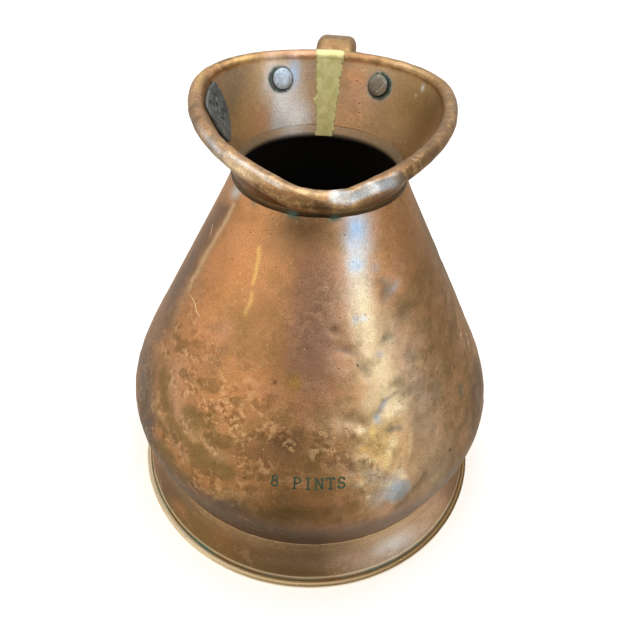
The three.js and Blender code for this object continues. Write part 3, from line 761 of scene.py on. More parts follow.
# Smooth olive skin among the lumps
SMOOTH_PATCHES = [
    Streak("olive", [(162, 374), (164, 390), (167, 408)], 6, 0.85, 1.5),
    Streak("olive", [(187, 411), (194, 420), (197, 427)], 7, 0.8, 1.5),
    Streak("olive", [(168, 420), (178, 429), (188, 444), (200, 456)], 6, 0.85, 1.5),
    Streak("olive", [(198, 460), (216, 466), (230, 476)], 9, 0.85, 1.5),
    Streak("olive", [(160, 448), (170, 464), (184, 480)], 6, 0.8, 1.5),
    Streak("umber", [(276, 444), (284, 434), (296, 438)], 6, 0.3),
]

# Where small hammered lumps show
LUMPY_MARKS = [
    Streak("", RUBBED_BELLY, 9, 0.6),
    Streak("", RUBBED_FLANK, 5, 0.6),
    Mark("", (195, 415), (60, 84), 12, 0.8),
    Mark("", (180, 350), (16, 30), 14, 0.8),
    Mark("", (240, 450), (64, 50), 0, 0.75),
    Mark("", (300, 448), (46, 26), 0, 0.6),
    Mark("", (366, 460), (36, 34), 0, 0.4),
    Mark("", (425, 385), (34, 40), 0, 0.5),
]

# Where painted glints, tiny bright points, lie along the highlights
GLINT_LINES = [
    Streak("", [(252, 258), (244, 280), (236, 304), (224, 336), (214, 356)], 15, 0.9),
    Streak("", [(202, 290), (210, 330), (196, 360)], 12, 0.5),
    Streak("", [(366, 300), (372, 350), (384, 410)], 15, 0.6),
]


def make_body():
    angles = angles_round(fine=620, coarse=110)
    runs = np.linspace(0, BODY.length, 236)
    band = BODY.run_at(NECK_HEIGHT - 4)
    inner_runs = np.concatenate([
        [BODY.length, BODY.length - 0.03], np.linspace(BODY.length - 0.2, band, 30)[:-1],
        np.linspace(band, 0, 36),
    ])
    outline = np.vstack([BODY.at(runs), BODY.at(inner_runs)])
    outward = np.vstack([BODY.outward(runs), BODY.outward(inner_runs)])
    size = len(outline)
    turns = np.repeat(angles, size)
    skin = turned(turns, np.tile(outline, (len(angles), 1)))
    away = turned(turns, np.tile(outward, (len(angles), 1)))
    outer = np.tile(np.arange(size) < len(runs), len(angles))
    view = View(skin[outer], BODY_RAGGED)
    shape = -SHEET - NECK_LEAN * (BODY_TOP - skin[:, 2]) * between(
        skin[:, 2], NECK_HEIGHT - 2.5, BODY_TOP + 5, 1.0,
    )
    shape[outer] = body_shape(skin[outer], view)
    made = piece(
        "body_skin", skin + away * shape[:, None], loop_faces(len(angles), size, True),
        aged_copper("body_copper"), ["body"],
    )
    points = skin[outer]
    across, height = points[:, 0], points[:, 2]
    broad, middle, fine = (
        cloud(points, grain, 3, seed) for grain, seed in ((46, 7), (17, 8), (8, 10))
    )
    tones = layered(
        plain("copper", len(points)),
        ("brown", smooth(-0.05, -0.7, broad) * 0.6),
        ("olive", smooth(0.02, 0.5, middle) * 0.5),
        ("rose", smooth(-0.1, -0.6, middle) * 0.3),
        # Browner towards both sides: painted shade where the belly turns away
        ("brown", smooth(1.2, 1.9, from_front(points)) * 0.4),
    )
    tones = painted(tones, view, BODY_MARKS + SMOOTH_PATCHES)
    patchy = between(height, 50, 175, 20) * smooth(-30, 30, across)
    shade = 1 - smooth(54, 78, height + 3 * cloud(points, 12, 2, 9))
    tones = layered(
        tones,
        ("moss", smooth(0.1, 0.6, fine) * patchy * 0.3),
        ("cream", smooth(0.15, 0.7, -fine) * patchy * 0.15),
        ("dusk", shade * (0.85 - 0.35 * smooth(30, 80, across))),
    )
    lining = smooth(NECK_HEIGHT - 1.0, NECK_HEIGHT + 1.0, skin[:, 2])
    # Inside the neck: a painted highlight in silver on the band at the back, and painted black
    # shade below the neck, where the inside of the measure lies unlit
    painted_shine = bell(skin[:, 0], -16, 8) * (skin[:, 1] > 0)
    every = layered(
        plain("tan", len(skin)), ("slate", 0.35), ("silver", 0.7 * painted_shine), ("soot_and_shade", 1 - lining),
    )
    every[outer] = tones
    lumpy, inside = np.zeros(len(skin)), 1 - lining
    lumps = view.total(LUMPY_MARKS) + 0.15 + 0.3 * cloud(points, 60, 2, 9)
    smoothed = 1 - held(view.total(SMOOTH_PATCHES))
    lumpy[outer] = held(lumps) * smoothed * smooth(30, 50, height)
    inside[outer] = 0
    # Painted glints along the highlights
    sparkle = np.zeros(len(skin))
    sparkle[outer] = held(view.total(GLINT_LINES))
    bare = lining * ~outer * 0.35
    keep(made, tone=every, lumpy=lumpy, inside=inside, sparkle=sparkle, bare=bare)
    return made


def on_body(angle, run, stand):
    """Places on the dented skin, standing off it."""
    skin = turned(angle, BODY.at(run))
    shape = body_shape(skin, View(skin, BODY_RAGGED)) + stand
    return skin + turned(angle, BODY.outward(run)) * shape[:, None]


def body_patch(angle, height):
    """Places by their distances across and up from a spot on the skin."""
    run = BODY.run_at(height)
    reach = BODY.at(run)[0]
    return lambda across, up, stand: on_body(angle - across / reach, run + up, stand)


# Foot


# The inner side of the foot's roll, and how many points of the outline lie above the roll
ROLL_INNER = FOOT_RADIUS - 2 * FOOT_BEAD
SKIRT_POINTS = 36


def foot_outline():
    """The skirt's section: down its outer face, round the roll and up the lining."""
    groove = (ROLL_INNER + 0.9, FOOT_BEAD * 1.6)
    bead = (FOOT_RADIUS - FOOT_BEAD, FOOT_BEAD)
    roll_high = FOOT_BEAD * 1.4
    lining_reach = BASE_RADIUS - SHEET
    top = bezier([
        (BAND_RADIUS + 0.15, FOOT_TOP + 0.4), (BAND_RADIUS + 0.7, FOOT_TOP - 0.6),
        (BASE_RADIUS, FOOT_TOP - 3), (BASE_RADIUS, BODY_FOOT),
    ], 10)
    skirt = bezier([
        (BASE_RADIUS, BODY_FOOT), (BASE_RADIUS, BODY_FOOT - 5),
        (groove[0] - 2.2, groove[1] + 6.5), groove,
    ], 24)
    roll = arc(bead, FOOT_BEAD, 146, -150, 30)
    lining = bezier([
        (ROLL_INNER, roll_high), (ROLL_INNER - 1.8, roll_high + 6),
        (lining_reach, BODY_FOOT - 5), (lining_reach, BODY_FOOT),
    ], 12)
    return np.vstack([top, skirt[1:], roll, lining, [(BAND_RADIUS + 0.25, FOOT_TOP - 0.6)]])


FOOT_MARKS = [
    Mark("orange", (221, 538), (15, 12), 30, 0.55),
    # Painted sheen on the skirt's lower right, in tan, silver and steel blue
    Mark("tan", (410, 528), (50, 16), -36, 0.8),
    Mark("silver", (388, 548), (36, 9), -30, 0.7),
    Mark("steel", (396, 556), (24, 6), -30, 0.4),
    Mark("rose", (340, 560), (60, 8), -4, 0.6),
    Mark("rose", (433, 500), (12, 30), 30, 0.5),
    Mark("olive", (330, 562), (90, 16), -4, 0.5),
    Mark("moss", (230, 560), (50, 12), 30, 0.4),
    Mark("slate", (164, 498), (14, 44), -40, 0.4),
    Mark("slate", (320, 560), (90, 16), -4, 0.25),
    Mark("olive", (168, 505), (14, 44), -40, 0.5),
    Mark("umber", (175, 495), (16, 34), -36, 0.5),
    Mark("olive", (196, 530), (50, 22), 40, 0.65),
    Mark("umber", (228, 545), (40, 14), 26, 0.4),
    Mark("orange", (180, 508), (5, 10), -36, 0.4),
    Mark("moss", (290, 572), (60, 8), 8, 0.5),
]

# Where the skirt is dull and pale
BARE_FOOT = [
    Streak("", [(340, 562), (385, 550), (420, 530), (440, 505)], 12, 0.4),
    Streak("", [(154, 470), (168, 515), (196, 548), (230, 570)], 2.0, 0.4),
]


def make_foot():
    outline = foot_outline()
    size = len(outline)
    angles = angles_round(fine=420, coarse=110)
    turns = np.repeat(angles, size)
    flat = np.tile(outline, (len(angles), 1))
    points = turned(turns, flat)
    radial = turned(turns, np.tile([[1.0, 0.0]], (len(points), 1)))
    reach, height = flat.T
    lift = smooth(3.0, 8.0, height)
    wave = lift * (0.14 * cloud(points, 30, 2, 11) - 0.15)
    wave += 0.06 * cloud(points, 8, 2, 12) * smooth(0.8, 3, height) - 0.06
    made = piece(
        "foot_skirt", points + radial * wave[:, None], loop_faces(len(angles), size, True),
        aged_copper("foot_copper", 0.6), ["foot"],
    )
    view = View(points, FOOT_RAGGED)
    left, side = smooth(-20, -80, points[:, 0]), smooth(70, -30, points[:, 0])
    on_bead = smooth(ROLL_INNER + 0.7, ROLL_INNER + 1.5, reach) * (height < 2 * FOOT_BEAD + 0.1)
    edge = smooth(FOOT_RADIUS - 1.2, FOOT_RADIUS - 0.4, reach) * on_bead
    edge *= 1 - smooth(1.6, 2.6, height)
    shadow = bell(reach, FOOT_RADIUS - 1.5, 0.45) * on_bead * left
    lip = bell(reach, ROLL_INNER - 0.3, 0.4) * between(height, 3.0, 6.0, 0.4)
    groove = bell(reach, ROLL_INNER + 0.6, 0.5) * between(height, 2.4, 5.5, 0.5)
    colours = layered(
        plain("brown", len(points)),
        ("mauve", smooth(-0.3, 0.6, cloud(points, 34, 3, 13)) * 0.5),
        # Tan towards the skirt's top: painted light over the shade that falls there
        ("tan", smooth(FOOT_TOP - 14, FOOT_TOP - 6, height) * 0.7),
    )
    colours = layered(
        painted(colours, view, FOOT_MARKS),
        ("umber", on_bead * (0.7 - 0.6 * side)),
        # Painted highlights in cream on the roll's front and left side, its outer edge and the
        # skirt's lip, and a painted shadow in slate on the left
        ("cream", on_bead * (side - left) * 0.35),
        ("moss", on_bead * 0.4 * (1 - left)),
        ("cream", on_bead * left * 0.6),
        ("cream", edge * 0.8),
        ("slate", shadow * 0.8),
        ("cream", lip * 0.9),
    )
    green = held(groove * (0.35 + 0.8 * cloud(points, 16, 3, 16) + 0.2 * left))
    lumpy = held(0.15 + 0.3 * cloud(points, 30, 2, 15)) * lift
    bare = held(view.total(BARE_FOOT) + 0.6 * edge + 0.4 * on_bead * side + 0.5 * lip)
    keep(made, tone=colours, bare=bare, lumpy=lumpy, green=green)


# Collar


def rim_line():
    """The rim wire's middle seen from above, once round from the spout."""
    flank = SPOUT_REACH - SPOUT_TIP * 0.25
    tip = bezier([
        (0, -SPOUT_REACH), (SPOUT_TIP * 0.35, -SPOUT_REACH),
        (SPOUT_TIP * 0.65, -SPOUT_REACH + SPOUT_TIP * 0.1), (SPOUT_TIP, -flank),
    ], 60)
    side = bezier([
        (SPOUT_TIP, -flank), (RIM_HALF_WIDTH * 0.8, -SPOUT_REACH * 0.64),
        (RIM_HALF_WIDTH, RIM_WIDEST - SPOUT_REACH * 0.3), (RIM_HALF_WIDTH, RIM_WIDEST),
    ], 120)
    rear = arc((0, 0), 1, 0, 90, 80) * (RIM_HALF_WIDTH, RIM_BACK - RIM_WIDEST) + (0, RIM_WIDEST)
    half = np.vstack([tip, side[1:], rear[1:]])
    return np.vstack([half, (half[1:-1] * (-1, 1))[::-1], half[:1]])


RIM = rim_line()
RIM_ANGLES = np.unwrap(np.arctan2(RIM[:, 1], RIM[:, 0]))


def rim_place(angle):
    """The rim wire's middle seen from above, at an angle round the axis."""
    turn = (np.asarray(angle) - FRONT) % TURN + FRONT
    place = np.stack([np.interp(turn, RIM_ANGLES, RIM[:, k]) for k in (0, 1)], -1)
    swell = REAR_LEFT_SWELL / RIM_HALF_WIDTH * bell(turn, math.radians(138), 0.42)
    return place * (1 + swell)[..., None]


def rim_outward(angle):
    step = rim_place(np.asarray(angle) + RIM_STEP) - rim_place(np.asarray(angle) - RIM_STEP)
    step /= np.hypot(step[..., 0], step[..., 1])[..., None]
    return np.stack([step[..., 1], -step[..., 0]], -1)


# The section runs up the lining, over the bead and down the outside, in these shares of it
LINING_END = 0.36
BEAD_END = 0.64
BAND_SHARE = 0.11
BEAD_FROM, BEAD_TO = 180.0, -150.0
WALL_BEND = COLLAR_FLARE - 0.5
WALL_TOP = RIM_HEIGHT + RIM_BEAD * math.sin(math.radians(BEAD_TO))


def collar_place(angle, share):
    """A place on the collar's smooth surface: at an angle, and at a share of its section."""
    angle, share = np.broadcast_arrays(np.asarray(angle, float), np.asarray(share, float))
    level = np.stack([np.cos(angle), np.sin(angle)], -1)
    wire, outward = rim_place(angle), rim_outward(angle)

    def spot(flat, height):
        return np.concatenate([flat, np.broadcast_to(height, angle.shape)[..., None]], -1)

    def round_wire(turn):
        out = (RIM_BEAD * np.cos(turn))[..., None]
        return spot(wire + outward * out, RIM_HEIGHT + RIM_BEAD * np.sin(turn))

    up = held(share / LINING_END)[..., None]
    low = spot(level * COLLAR_INNER, COLLAR_FOOT)
    bend = spot(level * (NECK_RADIUS - SHEET), COLLAR_FLARE + 0.3)
    top = spot(wire - outward * RIM_BEAD, RIM_HEIGHT)
    band, above = up / BAND_SHARE, held((up - BAND_SHARE) / (1 - BAND_SHARE))
    lining = np.where(up < BAND_SHARE, low + (bend - low) * band, bend + (top - bend) * above)
    turn = np.radians(np.interp(share, [LINING_END, BEAD_END], [BEAD_FROM, BEAD_TO]))
    down = held((1 - share) / (1 - BEAD_END))[..., None]
    low, bend = (
        spot(level * (COLLAR_INNER + SHEET), height) for height in (COLLAR_FOOT, WALL_BEND)
    )
    top = round_wire(math.radians(BEAD_TO))
    outside = low * (1 - down) ** 2 + bend * 2 * down * (1 - down) + top * down ** 2
    beyond = np.where((share < BEAD_END)[..., None], round_wire(turn), outside)
    return np.where((share <= LINING_END)[..., None], lining, beyond)


def collar_normal(angle, share):
    """Out of the copper, at a place on the collar."""
    further, nearer = held(share + SHARE_STEP), held(share - SHARE_STEP)
    across = collar_place(angle + TURN_STEP, share) - collar_place(angle - TURN_STEP, share)
    along = collar_place(angle, further) - collar_place(angle, nearer)
    normal = np.cross(along, across)
    return normal / np.linalg.norm(normal, axis=-1)[..., None]


# Places where the rolled edge was knocked flat: how far out along a direction the metal
# still reaches there
Flat = namedtuple("Flat", "direction reach")
FLATS = [Flat((0.23, -0.87, 0.44), 2.3), Flat((-0.45, -0.78, 0.43), 2.7)]
# Where they lie: at this distance to either side, this broad, and this far forward
FLAT_ASIDE, FLAT_WIDTH, FLAT_FRONT = 15, 15, -70


def collar_shape(points, angle, share):
    """How far the knocked and worn collar stands out of its smooth surface."""
    on_bead = between(share, LINING_END, BEAD_END, 0.015)
    shape = 0.14 * cloud(points, 24, 2, 21) + on_bead * 0.15 * cloud(points, 6, 2, 22)
    shape += on_bead * 0.5 * bell(from_front(points), 0, 0.30)
    wire = np.concatenate([rim_place(angle), np.full((len(points), 1), RIM_HEIGHT)], 1)
    away = points - wire
    length = np.linalg.norm(away, axis=1) + shape
    for flat in FLATS:
        direction = np.array(flat.direction) / np.linalg.norm(flat.direction)
        middle = math.copysign(FLAT_ASIDE, direction[0])
        where = bell(points[:, 0], middle, FLAT_WIDTH) * (points[:, 1] < FLAT_FRONT) * on_bead
        reach = (away / np.linalg.norm(away, axis=1)[:, None]) @ direction * length
        over = np.maximum(reach - (flat.reach + 2.0 * (1 - where)), 0)
        shape -= over * where * 1.2
    return shape


def on_collar(angle, share, stand):
    """Places on the knocked and worn collar, standing off it."""
    angle, share = np.broadcast_arrays(np.atleast_1d(angle), np.atleast_1d(share))
    skin = collar_place(angle, share)
    shape = collar_shape(skin, angle, share) + stand
    return skin + collar_normal(angle, share) * shape[:, None]


def lining_share(height):
    """The share of the section at which the lining reaches a height."""
    up = (height - COLLAR_FLARE) / (RIM_HEIGHT - COLLAR_FLARE)
    return (BAND_SHARE + (1 - BAND_SHARE) * up) * LINING_END


def wall_share(height):
    """The same for the outer wall."""
    up = np.linspace(0, 1, 200)
    heights = COLLAR_FOOT * (1 - up) ** 2 + WALL_BEND * 2 * up * (1 - up) + WALL_TOP * up ** 2
    return 1 - np.interp(height, heights, up) * (1 - BEAD_END)


def collar_patch(angle, height, share_of):
    """Places by their distances across and up from a spot on the collar."""
    middle, higher = (collar_place(angle, share_of(height + rise)) for rise in (0, 1))
    reach = math.hypot(middle[0], middle[1])
    slant = np.linalg.norm(higher - middle)

    def patch(across, up, stand):
        return on_collar(angle - across / reach, share_of(height + up / slant), stand)

    return patch


COLLAR_MARKS = [
    Mark("tan", (250, 105), (26, 44), 20, 0.7),
    # Painted sheen on the lining at the back, in silver, sky blue and steel blue
    Mark("silver", (281, 108), (12, 36), 0, 0.9),
    Mark("silver", (295, 124), (14, 14), 0, 0.7),
    Mark("silver", (268, 80), (7, 22), 10, 0.6),
    Mark("sky", (294, 74), (6, 16), 0, 0.7),
    Mark("steel", (278, 125), (14, 14), 0, 0.6),
    Mark("slate", (233, 95), (9, 40), 12, 0.4),
    Mark("silver", (300, 116), (14, 22), 0, 0.7),
    Mark("orange", (356, 78), (14, 8), 20, 0.5),
    Mark("rose", (358, 100), (14, 26), 0, 0.5),
    Mark("rose", (262, 118), (8, 14), 0, 0.4),
    Mark("olive", (416, 98), (38, 44), 10, 0.8),
    Mark("tan", (380, 132), (34, 16), 10, 0.7),
    Mark("slate", (384, 134), (34, 16), 10, 0.25),
    Mark("slate", (379, 84), (15, 16), 0, 0.35),
    # Painted glints
    Mark("silver", (423, 88), (1.6, 3.4), 10, 0.9),
    Mark("silver", (416, 96), (1.2, 1.4), 10, 0.8),
    # Painted highlights along the rolled edge, in gold, silver and cream
    Mark("gold", (200, 78), (4, 14), 20, 0.7),
    Mark("gold", (242, 60), (14, 4), -14, 0.5),
    Mark("silver", (213, 146), (4, 24), -38, 0.8),
    Mark("cream", (240, 170), (5, 24), -58, 0.75),
    Mark("orange", (280, 196), (24, 5), 22, 0.7),
    Mark("umber", (285, 192), (10, 4), 30, 0.4),
    # Painted shade under the front of the rolled edge
    Streak("umber", [(258, 187), (280, 198), (295, 202), (312, 204), (330, 208)], 5.5, 0.8, 2),
    Streak("umber", [
        (340, 210), (352, 212), (364, 208), (376, 202), (390, 194), (402, 185), (410, 178),
    ], 4.6, 0.9, 2),
    # A painted highlight along the front of the rolled edge
    Streak("tan", [
        (224, 153), (240, 162), (262, 176), (280, 186), (295, 190), (312, 193), (330, 195),
    ], 2.8, 0.7, 2),
    Streak("silver", [(224, 153), (240, 162), (262, 176), (280, 186)], 2.4, 0.5),
    Streak("brown", [
        (345, 187), (356, 183), (371, 177), (386, 171), (398, 164), (409, 157),
    ], 3, 0.8),
    # Painted bluish reflection on the knocked-flat part of the edge
    Streak("steel", [(371, 190), (386, 184), (397, 177)], 6.5, 0.8, 3),
    Streak("silver", [(336, 197), (346, 199), (356, 196), (374, 189)], 7, 0.9, 3),
    Streak("steel", [(344, 195), (356, 195), (374, 189)], 5, 0.6, 2),
    Mark("tan", (397, 177), (6, 5), -30, 0.5),
    # Painted shade under the rolled edge on the right
    Streak("umber", [(402, 172), (414, 163), (428, 150), (442, 132), (452, 112)], 7, 0.5),
    Mark("brown", (448, 105), (8, 34), 20, 0.6),
    # Painted highlights along the back of the rolled edge
    Mark("rose", (302, 53), (30, 4), 0, 0.6),
    Mark("tan", (410, 68), (24, 4), 20, 0.5),
]

# Where the last tinning on the edge catches the light
BARE_COLLAR = [
    Streak("", [(334, 196), (345, 198), (356, 196), (374, 189)], 6.5, 0.75, 2),
    Streak("", [(374, 189), (388, 183)], 6.5, 0.4, 2),
    Streak("", [(240, 162), (262, 176), (280, 186), (295, 190), (330, 195)], 3, 0.4),
    Streak("", [(281, 66), (280, 100), (276, 130)], 9, 0.35),
    Streak("", [(302, 100), (300, 132)], 9, 0.3),
    Streak("", [(219, 150), (232, 166), (250, 178)], 2.4, 0.5),
]


def seal_patch():
    """Places on the lining, from the middle of the seal."""
    return collar_patch(FRONT - SEAL_TURN, RIM_HEIGHT - SEAL_DROP, lining_share)


def make_collar():
    bend = BAND_SHARE * LINING_END
    shares = np.concatenate([
        np.array([0, 0.5, 0.99, 1, 1.02]) * bend, np.linspace(bend * 1.3, LINING_END, 32)[:-1],
        np.linspace(LINING_END, BEAD_END, 46)[:-1], np.linspace(BEAD_END, 1, 26),
    ])
    size, columns = len(shares), 520
    angles = np.repeat(FRONT + np.arange(columns) * TURN / columns, size)
    share = np.tile(shares, columns)
    skin = collar_place(angles, share)
    points = on_collar(angles, share, 0.0)
    made = piece(
        "collar_funnel", points, loop_faces(columns, size, True),
        aged_copper("collar_copper", 0.8), ["collar"],
    )
    on_bead = between(share, LINING_END, BEAD_END, 0.02)
    lining = share < LINING_END
    view = View(skin, COLLAR_RAGGED)
    colours = layered(
        plain("copper", len(points)),
        ("tan", lining * 0.8),
        ("slate", lining * (0.25 + 0.3 * cloud(points, 20, 3, 27))),
        ("brown", smooth(-0.2, 0.5, cloud(points, 26, 3, 23)) * 0.3 + on_bead * 0.6),
        ("umber", smooth(0.0, 0.4, cloud(points, 9, 3, 29)) * on_bead * 0.5),
        ("gold", smooth(0.15, 0.5, cloud(points, 6, 3, 28)) * on_bead * 0.3),
        ("umber", smooth(20, 50, points[:, 1]) * on_bead * 0.4),
    )
    colours = painted(colours, view, COLLAR_MARKS)
    # Painted shade under the rolled edge and down the outer wall
    colours = mixed(colours, "umber", smooth(BEAD_END - 0.05, BEAD_END + 0.02, share) * 0.75)
    green = np.zeros(len(points))
    strap = collar_patch(HANDLE_ANGLE, STRAP_HEIGHT, lining_share)
    for across, up in STRAP_RIVETS.values():
        away = np.linalg.norm(points - strap(across, up, 0.0)[0], axis=1) - RIVET_HEAD
        away += 0.5 * cloud(points, 4, 2, 25)
        green = np.maximum(green, between(away, -0.6, 1.4, 0.4) * lining * 0.35)
        colours = layered(
            colours,
            ("steel", between(away, 0, 1.6, 0.8) * lining * 0.4),
            ("soot_and_shade", between(away, -1, 1, 0.2) * lining * 0.85),
        )
    # A painted shadow line round the seal's edge
    away = np.linalg.norm(points - seal_patch()(0.0, 0.0, 0.0)[0], axis=1) - SEAL_RADIUS
    colours = mixed(colours, "soot_and_shade", between(away, -1.5, 0.6, 0.4) * lining * 0.9)
    lumpy = held(0.12 + 0.3 * cloud(points, 22, 2, 26) + 0.35 * on_bead)
    keep(made, tone=colours, green=green, bare=held(view.total(BARE_COLLAR)), lumpy=lumpy)


# Seams


def make_collar_seam(material):
    """The brazed strip: down the collar's back, over the rolled edge and down to the neck."""
    angle = BACK - COLLAR_SEAM_TURN
    reach_low, reach_high = COLLAR_INNER, RIM_BACK - RIM_BEAD
    slant = math.hypot(RIM_HEIGHT - COLLAR_FLARE, reach_high - reach_low)
    round_bead = RIM_BEAD * math.radians(BEAD_FROM - BEAD_TO)
    neck_run, over_run = 5.8, 17.5

    def patch(across, up, stand):
        rise = held(up / slant)
        over = (up - slant) / round_bead
        share = np.where(
            up < slant, (BAND_SHARE + (1 - BAND_SHARE) * rise) * LINING_END,
            LINING_END + over * (BEAD_END - LINING_END),
        )
        turn = angle - across / (reach_low + (reach_high - reach_low) * rise)
        neck_reach = NECK_RADIUS - SHEET - NECK_LEAN * np.maximum(-up, 0) - stand
        on_neck = turned(turn, np.stack([neck_reach, COLLAR_FLARE + 0.3 + up], 1))
        return np.where((up < 0)[:, None], on_neck, on_collar(turn, share, stand))

    rows = []
    for up in (*np.linspace(-neck_run, slant, 120), *np.linspace(slant, slant + over_run, 50)[1:]):
        share = held(up / slant)
        half = (COLLAR_SEAM_FOOT + (COLLAR_SEAM_TOP - COLLAR_SEAM_FOOT) * share) / 2
        left, right = (1.1 * wander(up, seed, 4) for seed in (3, 40))
        knob, waist = 1.9 * bell(up, 12.4, 1.5), 0.8 * bell(up, 24, 1.6)
        shift = 0.7 * (1 - share)
        left = -half - 0.8 * left - knob - shift + 0.5
        right += half - 0.5 * share - waist - shift
        rows.append((up, left, right))
    ribbon(
        "collar_seam_strip", patch, rows, 0.16, material, ["collar_seam_braze"], 16,
    )


def cramped(length, width, tooth):
    """Rows of a seam whose edges step in and out, like cramped tabs."""
    rows = []
    for up in np.arange(0, length, 0.8):
        swing = 2 * abs((up / CRAMP) % 1 - 0.5) - 0.5
        left, right = (0.35 * wander(up, seed, 3) for seed in (7, 50))
        half = width / 2 + tooth * np.clip(3 * swing, -0.5, 0.5)
        rows.append((up, left - half, right + half))
    return rows


def make_body_seams(material):
    low = FOOT_TOP + 1.5
    patch = body_patch(HANDLE_ANGLE, low)
    rows = cramped(BODY.run_at(NECK_HEIGHT - 3) - BODY.run_at(low), BODY_SEAM, BODY_SEAM * 0.5)
    ribbon("body_seam_strip", patch, rows, 0.12, material, ["body_seam_braze"])
    skirt = Outline(foot_outline()[:SKIRT_POINTS])

    def foot_patch(across, up, stand):
        run = skirt.length - up
        angle = HANDLE_ANGLE - across / BASE_RADIUS
        away = skirt.outward(run) * -1
        return turned(angle, skirt.at(run) + away * (stand - 0.05)[:, None])

    rows = cramped(skirt.length - 6, BODY_SEAM, BODY_SEAM * 0.4)
    ribbon("foot_seam_strip", foot_patch, rows, 0.2, material, ["foot_seam_braze"])


# Neck


# The solder's section at the neck: distance from the axis, and height. Its first points lie
# against the collar. Then the pixels of its two blobs.
FILLET = [
    (44.2, 215.6), (44.85, 215.6), (45.05, 214.6),
    (45.1, 213.6), (44.95, 212.8), (44.6, 212.2), (43.8, 213.0),
]
FILLET_INNER = 3
FILLET_BLOBS = [(293, 215), (335, 218)]


def make_neck_fillet():
    """The run of solder between cone and collar, dark and green where it is thick."""
    size, columns = len(FILLET), 360
    angles = np.repeat(np.arange(columns) * TURN / columns, size)
    points = turned(angles, np.tile(FILLET, (columns, 1)))
    view = View(points)
    blobs = sum(np.exp(-view.ellipse(at, (6, 4), 0)) for at in FILLET_BLOBS)
    lump = 0.15 * cloud(points, 5, 2, 31) + 0.35 * blobs
    outward = points * (1, 1, 0) / np.hypot(points[:, 0], points[:, 1])[:, None]
    low = np.tile(np.arange(size) >= FILLET_INNER, columns)
    points = points + outward * (lump * low)[:, None]
    points[:, 2] -= (0.3 + 0.3 * blobs) * low
    made = piece(
        "neck_fillet", points, loop_faces(columns, size, True), aged_copper("solder_run", 0.2),
        ["neck_solder"],
    )
    sooty = low * (0.45 + 0.4 * cloud(points, 6, 2, 32))
    green = held(0.7 * blobs + 0.5 * low * cloud(points, 9, 2, 33))
    keep(made, tone=mixed(plain("umber", len(points)), "soot_and_shade", sooty), green=green)


# Seal


# Ring punches in the seal: across, up and radius
PUNCHES = [
    (-5, -2, 1.6), (-1.5, 1.5, 1.3), (3, -1, 1.5), (6.5, 3, 1.2), (-6, 4.5, 1.2), (1, -7.5, 1.5),
    (8, -6, 1.3),
]


def make_seal(material):
    def relief(across, up):
        depth = 0.12 * np.cos(across * 0.9) * np.cos(up * 0.7)
        for x, y, size in PUNCHES:
            away = np.hypot(across - x, up - y)
            depth -= 0.55 * bell(away, size, 0.45) + 0.25 * bell(away, 0, size)
        return depth

    edge = arc((0, 0), SEAL_RADIUS, 0, 357.5, 143)
    edge[:, 1] = np.minimum(edge[:, 1], SEAL_DROP - 2 * GAP)
    plate(
        "seal_disc", seal_patch(), edge, SEAL_THICKNESS, material,
        ["verification_seal"], 44, relief,
    )


# Handle, plates and rivets


def make_plates(material):
    wall = collar_patch(HANDLE_ANGLE, STRAP_HEIGHT, wall_share)
    edge = spread(stadium(STRAP_LENGTH, STRAP_WIDTH, 16), 1.5)
    strap = plate("strap", wall, edge, PLATE, material, ["handle_upper_strap"])
    half, top = SHIELD_WIDTH / 2, SHIELD_LENGTH * 0.4
    foot = top - SHIELD_LENGTH
    side = bezier([(0, foot), (half * 0.45, foot), (half, foot * 0.45), (half, 0)], 20)
    shoulder = bezier([(half, 0), (half, top * 0.75), (half * 0.6, top), (0, top)], 20)
    right = np.vstack([side, shoulder[1:]])
    edge = np.vstack([right, (right[1:-1] * (-1, 1))[::-1]])
    skin = body_patch(HANDLE_ANGLE, SHIELD_HEIGHT)
    shield = plate("shield", skin, edge, PLATE, material, ["handle_lower_shield"])
    for made in (strap, shield):
        points = points_of(made)
        redder = 0.5 + 0.6 * cloud(points, 12, 3, 61)
        keep(made, tone=mixed(plain("brown", len(points)), "copper", redder))
    return wall, skin


def turned_piece(name, profile, middle, axis, sides, material, stands_for):
    """A round piece: its profile is (radius, height) along the axis, from end to end."""
    turn = Vector(axis).to_track_quat("Z", "Y").to_matrix()
    points = []
    for radius, height in profile:
        for j in range(sides):
            angle = j * TURN / sides
            spot = turn @ Vector((radius * math.cos(angle), radius * math.sin(angle), height))
            points.append(Vector(middle) + spot)
    return piece(name, points, loop_faces(len(profile), sides), material, stands_for)


# The one rivet that still shines, with a painted bluish reflection on its head
SHINY_RIVET = "upper_rivet_right"


